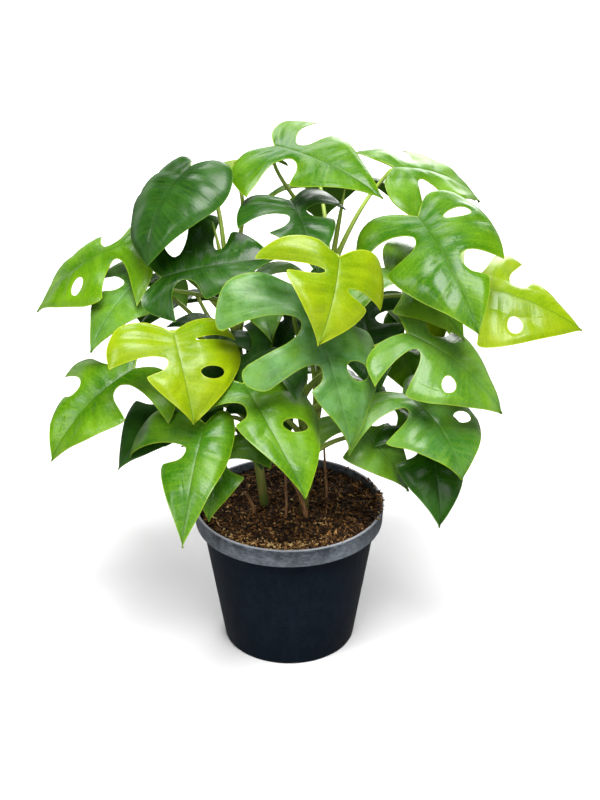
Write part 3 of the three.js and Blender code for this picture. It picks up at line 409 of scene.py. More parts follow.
# A row for each leaf: the stem it grows from and how far up, where the blade starts, its heading, pitch and
# roll, its length and half widths in mm, and its form where it differs from the usual one. arch bends the
# midrib down and sickle bends it sideways, fold lifts the sides at the midrib and droop bends them down, in
# degrees. ruffle moves each lobe up or down, in mm. A cut is its place along the margin, its bottom, half its
# opening, and True for a closed hole. reach is how far the lobes go out. Where a neighbour lies close, calm
# is the share of the waves that a blade keeps, and rise lifts or lowers its sides, in mm.
usualLeaf = dict(tone="green", arch=44, sickle=0, fold=8, droop=44, ruffle=2, pointed=1, calm=1, rise=0,
                 left=[(0.46, 0.16, 0.08)], right=[(0.46, 0.16, 0.08)], reach=([0.95, 0.72], [0.95, 0.7]))
leaves = [usualLeaf | leaf | dict(name=f"leaf_{number:02}") for number, leaf in enumerate((
    dict(shoot=0, at=0.93, base=(8, -26, 251), turn=(-61, -38, -6), long=98, wide=(54, 62), arch=34,
         sickle=6, droop=54, pointed=0, left=[(0.4, 0.2, 0.1), (0.7, 0.3, 0.05, True)],
         right=[(0.45, 0.14, 0.08), (0.69, 0.16, 0.045)], reach=([0.8, 0.95], [0.93, 0.96, 0.55])),
    dict(shoot=0, at=0.6, base=(-26, -47, 201), turn=(-61, -20, 8), long=80, wide=(42, 48), arch=36,
         sickle=6, droop=62, left=[(0.64, 0.25, 0.055, True)], right=[(0.44, 0.14, 0.09)],
         reach=([1], [0.75, 0.42])),
    dict(tone="lime", shoot=1, at=0.74, base=(-66, -41, 231), turn=(-72, -35, -4), long=56, wide=(48, 48),
         arch=36, sickle=8, fold=10, droop=60, left=[(0.36, 0.25, 0.025), (0.66, 0.3, 0.06, True)],
         right=[(0.54, 0.16, 0.07)], reach=([0.9, 0.95], [0.85, 0.6])),
    dict(shoot=1, at=0.46, base=(-48, -57, 180), turn=(-104, -29, 7), long=76, wide=(24, 66), arch=30,
         sickle=-2, droop=70, left=[], right=[(0.48, 0.12, 0.07)], reach=([0.75], [0.9, 0.42])),
    dict(tone="lime", shoot=2, at=0.86, base=(29, -42, 278), turn=(-94, -38, -28), long=54, wide=(38, 54),
         arch=30, sickle=-8, fold=6, droop=46, left=[(0.56, 0.22, 0.04)], right=[(0.46, 0.14, 0.05)],
         reach=([0.95, 0.8], [0.8, 0.62])),
    dict(tone="deep", shoot=1, at=0.95, base=(-74, -14, 254), turn=(-4, 18, 33), long=68, wide=(56, 26),
         arch=20, droop=50, left=[(0.4, 0.2, 0.09), (0.68, 0.35, 0.04)], right=[(0.44, 0.22, 0.09)],
         reach=([1, 1, 0.9], [1, 0.9])),
    dict(tone="deep", shoot=1, at=1, base=(-57, 16, 312), turn=(-136, -22, 7), long=68, wide=(34, 48),
         arch=56, sickle=10, fold=6, droop=56, ruffle=0, left=[], right=[], reach=([1], [1])),
    dict(shoot=2, at=0.94, base=(76, 4, 285), turn=(-65, -14, 17), long=86, wide=(42, 46), arch=42,
         sickle=-8, droop=50, left=[(0.36, 0.3, 0.05, True), (0.66, 0.26, 0.06)], right=[(0.42, 0.2, 0.09)],
         reach=([1, 0.85], [1, 0.85])),
    dict(shoot=0, at=0.72, base=(68, -31, 187), turn=(-42, -9, 4), long=66, wide=(52, 52), arch=55,
         sickle=-16, fold=10, droop=62, ruffle=4, left=[(0.38, 0.25, 0.08), (0.64, 0.35, 0.05, True)],
         right=[(0.44, 0.2, 0.08)], reach=([1, 0.9], [1, 0.7])),
    dict(tone="deep", shoot=0, at=0.4, base=(-16, -7, 166), turn=(-94, -35, -8), long=40, wide=(20, 22),
         arch=46, sickle=10, droop=40, ruffle=1, left=[], right=[(0.46, 0.3, 0.07)], reach=([1], [1, 0.8])),
    dict(tone="deep", shoot=0, at=0.48, base=(80, -27, 158), turn=(-64, -30, 0), long=60, wide=(34, 34),
         arch=50, sickle=-10, fold=10, droop=40, ruffle=3, left=[(0.44, 0.16, 0.08)],
         right=[(0.4, 0.16, 0.08)], reach=([0.95, 0.75], [0.95, 0.72])),
    dict(shoot=1, at=0.6, base=(-92, -18, 197), turn=(-152, -19, -10), long=76, wide=(44, 50), arch=42,
         sickle=10, droop=50, calm=0.8, rise=3, left=[(0.44, 0.15, 0.085)],
         right=[(0.36, 0.2, 0.07), (0.62, 0.3, 0.06)], reach=([1, 0.8], [1, 1, 0.7])),
    dict(shoot=1, at=0.88, base=(-94, 25, 261), turn=(175, -16, -12), long=82, wide=(46, 46), sickle=6,
         droop=46, rise=-1.5, left=[(0.4, 0.2, 0.08), (0.66, 0.3, 0.05, True)], right=[(0.44, 0.15, 0.085)],
         reach=([1, 0.9], [1, 0.8])),
    dict(tone="deep", shoot=1, at=0.67, base=(-59, 59, 214), turn=(127, -13, 6), long=84, wide=(46, 46),
         arch=46, sickle=-6, droop=50, left=[(0.42, 0.2, 0.09)],
         right=[(0.38, 0.2, 0.07), (0.64, 0.35, 0.05, True)], reach=([1, 0.8], [1, 0.9])),
    dict(tone="lime", shoot=1, at=0.97, base=(-35, 50, 299), turn=(127, -12, -9), long=70, wide=(42, 42),
         droop=46, left=[(0.5, 0.16, 0.08)], right=[(0.4, 0.22, 0.08)], reach=([1, 0.8], [1, 0.85])),
    dict(shoot=2, at=0.9, base=(19, 80, 282), turn=(90, -16, -9), long=88, wide=(48, 48), arch=46, sickle=4,
         droop=48, left=[(0.38, 0.2, 0.07), (0.62, 0.24, 0.06)],
         right=[(0.36, 0.25, 0.05, True), (0.6, 0.24, 0.06)], reach=([1, 1, 0.7], [1, 0.8])),
    dict(shoot=2, at=0.97, base=(64, 50, 300), turn=(22, -6, 14), long=74, wide=(44, 44), droop=46,
         left=[(0.42, 0.15, 0.085)], right=[(0.46, 0.22, 0.08)], reach=([1, 0.85], [1, 0.8])),
    dict(tone="lime", shoot=2, at=0.78, base=(101, 14, 239), turn=(-20, 2, 27), long=84, wide=(46, 48),
         arch=46, droop=48, calm=0.7, rise=-4, left=[(0.36, 0.22, 0.07), (0.62, 0.26, 0.06)],
         right=[(0.4, 0.2, 0.08), (0.66, 0.35, 0.05, True)], reach=([1, 1, 0.7], [1, 0.85])),
    dict(shoot=2, at=0.62, base=(61, 72, 203), turn=(46, -10, 1), long=86, wide=(46, 48), arch=48, sickle=6,
         droop=50, left=[(0.42, 0.15, 0.085)], right=[(0.38, 0.2, 0.07), (0.62, 0.26, 0.06)],
         reach=([1, 0.8], [1, 1, 0.7])),
    dict(tone="deep", shoot=2, at=0.4, base=(20, 64, 156), turn=(82, -10, 0), long=66, wide=(36, 36),
         arch=48),
    dict(shoot=1, at=0.4, base=(-62, 22, 150), turn=(160, -12, 0), long=62, wide=(34, 34), arch=48, right=[],
         reach=([1, 0.8], [1])),
    dict(shoot=0, at=0.84, base=(70, -29, 225), turn=(-20, -16, 18), long=76, wide=(42, 44), arch=46,
         sickle=-4, droop=50, ruffle=3, left=[(0.42, 0.15, 0.085)],
         right=[(0.38, 0.2, 0.07), (0.64, 0.35, 0.05, True)], reach=([1, 0.8], [1, 0.9])),
    dict(tone="deep", shoot=2, at=0.98, base=(2, 12, 292), turn=(-72, -14, 0), long=56, wide=(34, 36),
         arch=30, droop=40, ruffle=1, right=[(0.5, 0.16, 0.08)]),
    dict(shoot=2, at=1, base=(-8, 36, 318), turn=(-38, 2, 20), long=78, wide=(42, 42), arch=34, fold=6,
         droop=36, left=[(0.42, 0.15, 0.085)], right=[(0.46, 0.15, 0.085)]),
    dict(tone="deep", shoot=1, at=0.55, base=(-39, -5, 215), turn=(-114, -5, -11), long=58, wide=(34, 36),
         droop=40, calm=0.2),
    dict(tone="deep", shoot=2, at=0.55, base=(47, 37, 213), turn=(-86, -20, 11), long=62, wide=(36, 38),
         droop=42, left=[(0.42, 0.16, 0.08)]),
    dict(shoot=1, at=0.8, base=(-20, 30, 240), turn=(-81, -3, 5), long=60, wide=(34, 34), arch=40, droop=42,
         calm=0.2, left=[(0.42, 0.16, 0.08)]),
    dict(shoot=2, at=0.3, base=(54, 20, 160), turn=(-16, -14, 0), long=62, wide=(34, 36), arch=46, droop=42,
         left=[(0.42, 0.16, 0.08)]),
    dict(shoot=1, at=0.7, base=(-87, 16, 243), turn=(-128, -14, -5), long=60, wide=(36, 36),
         left=[(0.44, 0.2, 0.09)]),
    dict(tone="deep", shoot=2, at=0.46, base=(7, 18, 216), turn=(-124, -16, -25), long=58, wide=(34, 36),
         arch=40, droop=40, right=[(0.42, 0.16, 0.08)]),
    dict(shoot=1, at=0.36, base=(-38, -38, 158), turn=(-107, -29, 1), long=50, wide=(30, 30), arch=40,
         droop=40, ruffle=1, left=[(0.5, 0.16, 0.08)], right=[(0.44, 0.16, 0.08)]),
    dict(shoot=2, at=0.66, base=(59, 39, 197), turn=(-49, -22, -3), long=62, wide=(36, 36), arch=46,
         left=[(0.42, 0.16, 0.08)], right=[(0.46, 0.22, 0.08)]),
    dict(tone="deep", shoot=0, at=0.66, base=(-10, -25, 214), turn=(-157, -21, -16), long=62, wide=(38, 38),
         calm=0, right=[(0.44, 0.16, 0.08)]),
    dict(tone="deep", shoot=1, at=0.5, base=(-64, -8, 175), turn=(-142, -17, -8), long=62, wide=(38, 38),
         left=[(0.44, 0.16, 0.08)]),
    dict(shoot=2, at=0.74, base=(58, 6, 252), turn=(-36, -12, 14), long=66, wide=(38, 38),
         left=[(0.44, 0.16, 0.08)]),
    dict(shoot=0, at=0.52, base=(33, -22, 167), turn=(-33, -21, 13), long=62, wide=(36, 36),
         right=[(0.42, 0.16, 0.08)]),
), 1)]


# A point of the uncut margin, by a smooth curve through its points.
def marginAt(t):
    place = np.clip(t, 0, 1) * (len(marginPoints) - 1)
    i = np.minimum(place.astype(int), len(marginPoints) - 2)
    w = (place - i)[..., None]
    p0, p1 = marginPoints[np.maximum(i - 1, 0)], marginPoints[i]
    p2, p3 = marginPoints[i + 1], marginPoints[np.minimum(i + 2, len(marginPoints) - 1)]
    v0, v1 = (p2 - p0) / 2, (p3 - p1) / 2
    return (2 * (p1 - p2) + v0 + v1) * w ** 3 + (3 * (p2 - p1) - 2 * v0 - v1) * w ** 2 + v0 * w + p1


# A number from -1 to 1 that a seed always gives again.
def chance(seed):
    value = math.sin(seed * 12.9898) * 43758.5453
    return 2 * (value - math.floor(value)) - 1


def noiseAt(*place):
    axes = (axis.tolist() for axis in np.broadcast_arrays(*place))
    return np.array([noise.noise(point) for point in zip(*axes)])


def between(low, high, share):
    return low + (high - low) * share


# 1 at 0, falling off on both sides.
def bell(away, width):
    return np.exp(-(away / width) ** 2)


# 0 at 0, rising to 1 at the given length.
def rampUp(value, length):
    return np.clip(value / length, 0, 1)


# A leaf's own axes as columns: along its midrib, to its left and up.
def turnOf(leaf):
    heading, pitch, roll = (math.radians(angle) for angle in leaf["turn"])
    return np.array(Euler((roll, -pitch, heading), "XYZ").to_matrix())


def midribFrames(leaf):
    share = np.arange(blade["frames"] + 1) / blade["frames"]

    def directions(share):
        dip, turn = np.radians(leaf["arch"]) * share, np.radians(leaf["sickle"]) * share
        along = np.stack([np.cos(dip) * np.cos(turn), np.cos(dip) * np.sin(turn), -np.sin(dip)], -1)
        side = np.stack([-np.sin(turn), np.cos(turn), 0 * turn], -1)
        return along, side, np.cross(along, side)

    along, side, up = directions(share)
    step = leaf["long"] / blade["frames"]
    at = np.vstack([np.zeros(3), np.cumsum(directions(share[:-1] + 0.5 / blade["frames"])[0] * step, 0)])
    return dict(step=step, at=at, along=along, side=side, up=up)


def bentPoint(leaf, frames, hand, x, y, lift):
    i = np.clip(np.floor(x / frames["step"]).astype(int), 0, blade["frames"] - 1)
    share = (x / frames["step"] - i)[..., None]
    at, side, up = ((1 - share) * frames[key][i] + share * frames[key][i + 1]
                    for key in ("at", "side", "up"))
    fold = math.radians(leaf["fold"])
    rate = math.radians(leaf["droop"]) / leaf["wide"][hand < 0]
    angle = fold - rate * y
    out = (math.sin(fold) - np.sin(angle)) / rate
    rise = (np.cos(angle) - math.cos(fold)) / rate
    return at + side * (hand * out)[..., None] + up * (rise + lift)[..., None]


# The lobes of one side, and for each the span of the margin that its end is rounded over.
def lobesOf(cuts):
    cuts = [(*cut, False)[:4] for cut in cuts]
    first, last = (cuts[0][1], cuts[-1][1]) if cuts else (0.4, 0.4)
    stops = [(0, first, 0, False), *cuts, (1, last, 0, False)]
    opens = [stop for i, stop in enumerate(stops) if not stop[3] or i == 0]
    lobes = []
    for rear, front in zip(stops, stops[1:]):
        span = next(i for i, stop in enumerate(opens) if stop[0] >= front[0])
        lobes.append((rear, front, opens[span - 1][0], opens[span][0], span - 1))
    return lobes


def halfOpening(stop, share):
    if stop[3]:
        inside = np.clip(share / blade["holeEnd"], 0, 1)
        return stop[2] * 1.5 * inside * np.sqrt(1 - inside ** 2)
    return stop[2] * np.sin(np.pi / 2 * np.minimum(1, 1.4 * share))


# 1 at a corner, falling to 0 on a quarter circle.
def cornerFall(away, width):
    inside = np.clip(1 - away / width, 0, 1)
    return 1 - np.sqrt(1 - inside ** 2)


def veinPlaces(leaf):
    stops = sorted({0, 1, *(cut[0] for cut in leaf["left"]), *(cut[0] for cut in leaf["right"])})
    places = [0.0]
    for low, high in zip(stops, stops[1:]):
        steps = max(3, math.ceil((high - low) * blade["fineColumns"]))
        even = np.arange(1, steps + 1) / steps  # closer together towards the cuts
        places += list(between(low, high, 0.45 * even + 0.275 * (1 - np.cos(np.pi * even))))
    return np.array(places)


def distanceToLines(points, lines):
    away = np.full(len(points), 99.0)
    for start, end in ((start, end) for line in lines for start, end in zip(line, line[1:])):
        way = end - start
        share = np.clip(((points - start) @ way) / max(way @ way, 1e-9), 0, 1)
        away = np.minimum(away, np.hypot(*(points - start - share[:, None] * way).T))
    return away


# The flat place of a point of the margin's share t, out of the way from midrib to margin.
def flatPlace(leaf, hand, t, out):
    root = t * t * leaf["long"]
    margin = marginAt(t)
    bow = blade["veinBow"] * leaf["long"] * np.sin(np.pi * t) * (out - out * out)
    x = between(root, margin[..., 0] * leaf["long"], out) - bow
    return np.stack([x, margin[..., 1] * leaf["wide"][hand < 0] * out], -1)


# One side's lobes as flat places with their lift, t and out, and the lines of their veins and margin.
def flatLobes(leaf, number, hand, places):
    reaches = leaf["reach"][hand < 0]
    share = np.concatenate([0 * innerShares, outerShares])[:, None]
    inner = np.concatenate([innerShares, np.ones(len(outerShares))])[:, None]
    lobes, veinLines, rimLines = [], [], []
    for rear, front, low, high, group in lobesOf(leaf["left" if hand > 0 else "right"]):
        columns = places[(places > rear[0] - 1e-6) & (places < front[0] + 1e-6)]
        across = (columns - rear[0]) / (front[0] - rear[0])
        t = between(rear[0] + halfOpening(rear, share), front[0] - halfOpening(front, share), across)
        span = (columns - low) / (high - low)
        deep = between(rear[1], front[1], across)
        rearEnd = blade["rearEnd"][leaf["pointed"]] if low > 0 else 0
        frontEnd = blade["frontEnd"][leaf["pointed"]] if high < 1 else 0
        frontFall = cornerFall(1 - span, 0.55) if frontEnd > 0 else span ** 6
        tip = reaches[group] * (1 - rearEnd * cornerFall(span, 0.6) - frontEnd * frontFall)
        out = deep * inner + (tip - deep) * share ** 2
        flat = flatPlace(leaf, hand, t, out)
        # each lobe sags or rises, and tilts
        sag = leaf["ruffle"] * chance(number * 7 + group * 3 + hand)
        sway = leaf["ruffle"] * chance(number * 11 + group * 5 + hand)
        lift = (sag + sway * (2 * span - 1)) * share ** 2 * np.sin(np.pi * t)
        # each finger is arched across its width, some more than others
        cup = blade["cup"] * (0.75 + 0.5 * chance(number * 5 + group * 2 + hand * 3))
        arched = 2.2 * (high - low) * (0.4 - (2 * span - 1) ** 2) * share ** 2 * (low > 0 or high < 1)
        lobes.append((flat, lift + cup * arched, t, out))
        count = max(1, round((front[0] - rear[0]) * blade["veinsPerSide"]))
        outs = np.linspace(0, 0.94 * reaches[group], 24)
        for k in range(count):
            way = (k + 0.5) / count
            atRib = between(rear[0], front[0], way)
            first = rear[0] + (0 if rear[3] else rear[2])
            last = front[0] - (0 if front[3] else front[2])
            atRim = between(first, last, way)
            veinLines.append(flatPlace(leaf, hand, between(atRib, atRim, outs ** 0.8), outs))
        rimLines.append(flat[-1])
        joinRow = int(np.argmax(share[:, 0] >= blade["holeEnd"]))
        for stop, column in ((rear, 0), (front, -1)):
            if 0 < stop[0] < 1:
                last = joinRow + 1 if stop[3] else len(flat)
                rimLines.append(flat[len(innerShares) - 1:last, column])
    return lobes, veinLines, rimLines


# The form of one lobe: its places in the leaf's own frame, its UVs, and what its material reads.
def bentLobe(leaf, number, hand, frames, lobe, veinLines, rimLines):
    flat, sag, t, out = lobe
    spots = flat.reshape(-1, 2)
    vein, edge = distanceToLines(spots, veinLines), distanceToLines(spots, rimLines)
    x, y = spots.T
    # tissue swells between the veins and sinks at them, and the midrib lies in a groove
    puff = blade["veinDepth"] * (1 - 2 * bell(vein, blade["veinWidth"])) * rampUp(edge, 9) * rampUp(y, 6)
    groove = -blade["groove"] * bell(y, blade["grooveWidth"]) * np.clip(1.15 - x / leaf["long"], 0.1, 1)
    rate = blade["waveRate"]
    wave = noiseAt(x * rate, y * hand * rate, number * 7.3) * blade["wave"] * leaf["calm"]
    curl = -blade["curl"] * bell(edge, blade["curlWidth"]) * rampUp(y, 10)
    along = t.ravel() * leaf["long"] / blade["rippleStep"]
    ripple = noiseAt(along, out.ravel() * 2, number * 5.1 + hand) * blade["ripple"] * leaf["calm"]
    ripple *= bell(edge, blade["rippleWidth"]) * rampUp(y, 14)
    lift = sag.ravel() + puff + groove + (wave + leaf["rise"]) * rampUp(y, 12) + curl + ripple
    bent = bentPoint(leaf, frames, hand, x, y, lift).reshape(*t.shape, 3)
    uv = np.stack([t * leaf["long"] * 0.17, flat[..., 1] * 0.1], -1)
    # young tissue, towards the margin and the tip, is lighter
    shade = 0.2 * chance(number * 3.7 + 2) + 0.5 * (out - 0.45) + 0.25 * (t - 0.5)
    # the share of painted sheen for this leaf, from its tone's most and varied from leaf to leaf
    paintedSheen = blade["paintedSheen"][leaf["tone"]] * max(0, 0.35 + 0.65 * chance(number * 2.3 + 1)) ** 1.5
    values = dict(edge=edge, vein=vein, rib=y, shade=shade.ravel(), paintedSheen=paintedSheen + 0 * y)
    if hand < 0:  # mirrored, so that every face looks up
        bent, uv = bent[:, ::-1], uv[:, ::-1]
        values = {name: each.reshape(bent.shape[:2])[:, ::-1] for name, each in values.items()}
    return bent, uv, values


def makeBlade(leaf, number):
    frames = midribFrames(leaf)
    places = veinPlaces(leaf)
    pieces = []
    for hand in (1, -1):
        lobes, veinLines, rimLines = flatLobes(leaf, number, hand, places)
        for lobe in lobes:
            bent, uv, values = bentLobe(leaf, number, hand, frames, lobe, veinLines, rimLines)
            pieces.append(addSheet(bent * mm, uv))
            for name, each in values.items():
                setAttribute(pieces[-1], name, each)
    piece = joined(leaf["name"] + "_blade", pieces)
    mergeDoubles(piece, 0.01 * mm)
    moveVertices(piece, positionsOf(piece) @ turnOf(leaf).T + np.array(leaf["base"]) * mm)
    # the normals of the middle sheet tell the upper skin from the lower
    middle = positionsOf(piece)
    normals = np.empty(len(middle) * 3, np.float32)
    piece.data.vertices.foreach_get("normal", normals)
    applyModifier(piece, "SOLIDIFY", thickness=blade["thickness"] * mm, offset=0.0)
    shell = positionsOf(piece)
    side = np.sum((shell[:len(middle)] - middle) * normals.reshape(-1, 3), 1)
    isSecond = np.arange(len(shell)) >= len(middle)
    setAttribute(piece, "under", isSecond == (np.median(side) > 0))
    smooth(piece, 50)
    finish(piece, leaf["name"], leafMaterials[leaf["tone"]])


for number, leaf in enumerate(leaves):
    makeBlade(leaf, number)
print("leaf blades ready")


# heights, depths and radii in mm
soil = dict(level=90.5, dome=3, lump=0.9, radius=57)
stem = dict(rootDepth=22, footRadius=3.2, topRadius=2.1, nodeSwell=0.5, sides=18, rings=90)
petiole = dict(footRadius=2.0, topRadius=1.1, sheath=0.9, knee=0.25, sides=14, rings=44)
newLeaf = dict(at=0.97, footRadius=1.9, topRadius=0.35, sides=12, rings=40)
shoots = [
    dict(name="shoot_front", foot=(6, -7), top=(10, -12, 196), bow=(9, -6), spike=(2, -20, 238)),
    dict(name="shoot_left", foot=(-14, 2), top=(-34, 6, 232), bow=(-3, -6), spike=(-44, -2, 284)),
    dict(name="shoot_back", foot=(9, 14), top=(26, 30, 246), bow=(8, 5), spike=(34, 26, 296)),
]


def bezier(points, share):
    points = [np.asarray(point, float) for point in points]
    share = np.asarray(share)[..., None]
    while len(points) > 1:
        points = [a * (1 - share) + b * share for a, b in zip(points, points[1:])]
    return points[0]


def lengthsAlong(points):
    return np.concatenate([[0], np.cumsum(np.linalg.norm(np.diff(points, axis=0), axis=1))])


def tangentsOf(points):
    tangents = np.gradient(points, axis=0)
    return tangents / np.linalg.norm(tangents, axis=1)[:, None]


def evenAlong(points, shares):
    lengths = lengthsAlong(points)
    places = np.asarray(shares) * lengths[-1]
    return np.stack([np.interp(places, lengths, axis) for axis in points.T], -1)


# A round limb along a line of points in mm. channel sinks a furrow along its upper side.
def addLimb(points, radii, sides, age, channel=0.0):
    tangents = tangentsOf(points)
    normal = np.cross(tangents[0], (0.3, 0.9, 0.1))
    rings = []
    angles = np.linspace(0, 2 * np.pi, sides + 1)
    for point, tangent, radius in zip(points, tangents, radii):
        normal = normal - tangent * (normal @ tangent)
        normal /= np.linalg.norm(normal)
        side = np.cross(tangent, normal)
        up = np.arctan2(side[2], normal[2])
        away = np.abs((angles - up + np.pi) % (2 * np.pi) - np.pi)
        size = (radius * (1 - channel * bell(away, 0.55)))[:, None]
        rings.append(point + normal * size * np.cos(angles)[:, None] + side * size * np.sin(angles)[:, None])
    across, along = angles[None, :] / (2 * np.pi), lengthsAlong(points)[:, None] * 0.1
    limb = addSheet(np.array(rings) * mm, np.stack(np.broadcast_arrays(across, along), -1))
    setAttribute(limb, "age", np.repeat(np.broadcast_to(age, len(points)), sides + 1))
    mergeDoubles(limb, 0.002 * mm)
    closeEnds(limb)
    return limb


def makeShoot(number):
    shoot, level = shoots[number], soil["level"]
    foot, bow, top = shoot["foot"], shoot["bow"], shoot["top"]
    rise = top[2] - level
    line = bezier([(*foot, level - stem["rootDepth"]),
                   (foot[0] + bow[0], foot[1] + bow[1], level + 0.3 * rise),
                   (top[0] - bow[0] / 2, top[1] - bow[1] / 2, level + 0.7 * rise), top],
                  np.linspace(0, 1, 400))
    tangents = tangentsOf(line)
    shares = np.linspace(0, 1, stem["rings"])
    points = evenAlong(line, shares)
    own = [leaf for leaf in leaves if leaf["shoot"] == number]
    near = np.min([np.abs(leaf["at"] - shares) for leaf in own], 0)
    radii = between(stem["footRadius"], stem["topRadius"], shares) + stem["nodeSwell"] * bell(near, 0.03)
    # the stem is brownish by the soil and has a worn ring at each node
    age = np.maximum(np.clip(1.1 - (points[:, 2] - level) / 60, 0, 1), 0.7 * bell(near, 0.008))
    limbs = [addLimb(points, radii, stem["sides"], age)]
    for leaf in own:
        start = evenAlong(line, [leaf["at"]])[0]
        nearest = int(np.argmin(np.linalg.norm(line - start, axis=1)))
        turn, base = turnOf(leaf), np.array(leaf["base"])
        along, up = turn[:, 0], turn[:, 2]
        end = base - up * 1.0 - along * 0.5
        pull = 0.35 * np.linalg.norm(end - start)
        outward = (end - start) * (0.25, 0.25, 0)
        arrival = 0.6 * along + 0.8 * up
        curve = bezier([start, start + outward + tangents[nearest] * pull, end - arrival * pull, end],
                       np.linspace(0, 1, 200))
        shares = np.linspace(0, 1, petiole["rings"])
        path = evenAlong(curve, shares)
        radii = between(petiole["footRadius"], petiole["topRadius"], np.sqrt(shares))
        radii += petiole["sheath"] * np.clip(1 - shares / 0.35, 0, None) ** 2
        radii += petiole["knee"] * bell(shares - 0.96, 0.04)  # it swells just below the blade
        # past the blade's base it runs on under the midrib and thins away
        frames = midribFrames(leaf)
        index = (np.linspace(0.04, 0.5, 30) * blade["frames"]).astype(int)
        thin = np.linspace(petiole["topRadius"] * 0.95, 0.35, len(index))
        sunk = blade["groove"] + blade["thickness"] / 2 + 0.75 * thin
        under = (frames["at"][index] - frames["up"][index] * sunk[:, None]) @ turn.T + base
        age = np.concatenate([0.5 * np.clip(1 - shares[:-1] / 0.08, 0, 1), np.zeros(len(thin))])
        limbs.append(addLimb(np.vstack([path[:-1], under]), np.concatenate([radii[:-1], thin]),
                             petiole["sides"], age, channel=0.16))
    # the rolled new leaf
    start = evenAlong(line, [newLeaf["at"]])[0]
    tip = np.array(shoot["spike"], float)
    shares = np.linspace(0, 1, newLeaf["rings"])
    curve = bezier([start, (start + tip) / 2 + tangents[-1] * 4, tip], shares)
    radii = between(newLeaf["footRadius"], newLeaf["topRadius"], shares ** 2)
    limbs.append(addLimb(curve, radii, newLeaf["sides"], 0 * shares, channel=0.3))
    piece = joined(shoot["name"] + "_stems", limbs)
    smooth(piece, 60)
    finish(piece, shoot["name"], stemMaterial)


for number in range(len(shoots)):
    makeShoot(number)
print("stems ready")


# the first two are furrowed
dries = [
    dict(name="dry_sheath_1", foot=(13, -16), bend=(10, -14, 104), tip=(2, -17, 120), radii=(2.4, 0.8),
         channel=0.5),
    dict(name="dry_sheath_2", foot=(-20, -8), bend=(-22, -10, 102), tip=(-28, -18, 112), radii=(1.8, 0.6),
         channel=0.5),
    dict(name="aerial_root_1", foot=(-2, -18), bend=(-1, -12, 112), tip=(-3, -4, 132), radii=(1, 0.6)),
    dict(name="aerial_root_2", foot=(24, 6), bend=(24, 8, 112), tip=(21, 10, 136), radii=(1, 0.6)),
]
for number, dry in enumerate(dries):
    shares = np.linspace(0, 1, 40)
    line = bezier([(*dry["foot"], soil["level"] - 9), dry["bend"], dry["tip"]], shares)
    wander = np.array([noise.noise_vector((s * 7, number * 5.0, 0)) for s in shares]) * 0.5
    radii = between(*dry["radii"], shares) * (1 + 0.18 * noiseAt(shares * 16, number * 3.0, 1))
    piece = addLimb(line + wander * shares[:, None], radii, 14, 1.0, channel=dry.get("channel", 0))
    piece.name = dry["name"] + "_husk"
    smooth(piece, 60)
    finish(piece, dry["name"], dryMaterial)
print("dry pieces ready")


# radii and heights in mm; the drain holes go through a raised ring of the base
pot = dict(rim=60, foot=42, height=95, wall=1.2, band=12, bandStep=3.8, sides=128, drainCount=8,
           drainRadius=3, drainRing=30.5, drainRaise=3, drainInner=25, drainOuter=36, drillDepth=12,
           drillSides=24)


# A turned shell: one ring of edges is drawn from point to point of a (radius, height) profile.
def turnedShell(profile, sides):
    radius, height = profile[0]
    bpy.ops.mesh.primitive_circle_add(vertices=sides, radius=radius * mm, location=(0, 0, height * mm))
    shell = bpy.context.object
    bpy.ops.object.transform_apply(location=True)
    bpy.ops.object.mode_set(mode="EDIT")
    bpy.ops.mesh.select_all(action="SELECT")
    bpy.ops.mesh.select_mode(type="EDGE")
    for nextRadius, nextHeight in profile[1:]:
        bpy.ops.mesh.extrude_edges_move(
            TRANSFORM_OT_translate={"value": (0, 0, (nextHeight - height) * mm)})
        factor = nextRadius / radius
        bpy.ops.transform.resize(value=(factor, factor, 1), center_override=(0, 0, nextHeight * mm))
        radius, height = nextRadius, nextHeight
    bpy.ops.object.mode_set(mode="OBJECT")
    return shell


def potProfile():
    rim, foot, height, wall = (pot[key] for key in ("rim", "foot", "height", "wall"))
    inner, outer, raised = pot["drainInner"], pot["drainOuter"], pot["drainRaise"]
    shoulder = height - pot["band"]
    neck = rim - pot["bandStep"] - 1.4
    return [
        (2, 0), (inner - 1.4, 0), (inner - 1, 0.3), (inner, raised - 0.3), (inner + 0.5, raised),
        (outer - 0.5, raised), (outer, raised - 0.3), (outer + 1, 0.3), (outer + 1.4, 0), (foot - 1.2, 0),
        (foot - 0.4, 0.4), (foot, 1.2), (between(foot, neck, 0.5), (shoulder - wall) * 0.5 + 0.3),
        (neck - 0.1, shoulder - wall - 1.4), (neck + 0.2, shoulder - wall - 0.2),
        (neck + 0.9, shoulder - 0.6), (rim - 1.6, shoulder - 0.35), (rim - 0.8, shoulder + 0.2),
        (rim - 0.62, shoulder + 1), (rim - 0.1, height - 1.6), (rim, height - 0.8),
        (rim - 0.15, height - 0.2), (rim - 0.6, height), (rim - wall - 0.5, height - 0.1),
        (rim - wall - 0.7, height - 0.7), (rim - wall - 1.2, shoulder + wall), (neck - wall, shoulder),
        (foot - wall, wall), (outer + 1.5, wall), (outer + 0.5, wall + raised),
        (inner - 0.5, wall + raised), (inner - 1.5, wall), (2, wall),
    ]


potShell = turnedShell(potProfile(), pot["sides"])
potShell.name = "nursery_pot"
closeEnds(potShell)
for k in range(pot["drainCount"]):
    angle = 2 * math.pi * k / pot["drainCount"]
    out, up = pot["drainRing"] * mm, pot["drainRaise"] * mm
    bpy.ops.mesh.primitive_cylinder_add(
        vertices=pot["drillSides"], radius=pot["drainRadius"] * mm, depth=pot["drillDepth"] * mm,
        location=(out * math.cos(angle), out * math.sin(angle), up))
    drill = bpy.context.object
    applyModifier(potShell, "BOOLEAN", object=drill, operation="DIFFERENCE", solver="EXACT")
    bpy.data.objects.remove(drill)
smooth(potShell, 28)
finish(potShell, "pot", potMaterial)
print("pot ready")


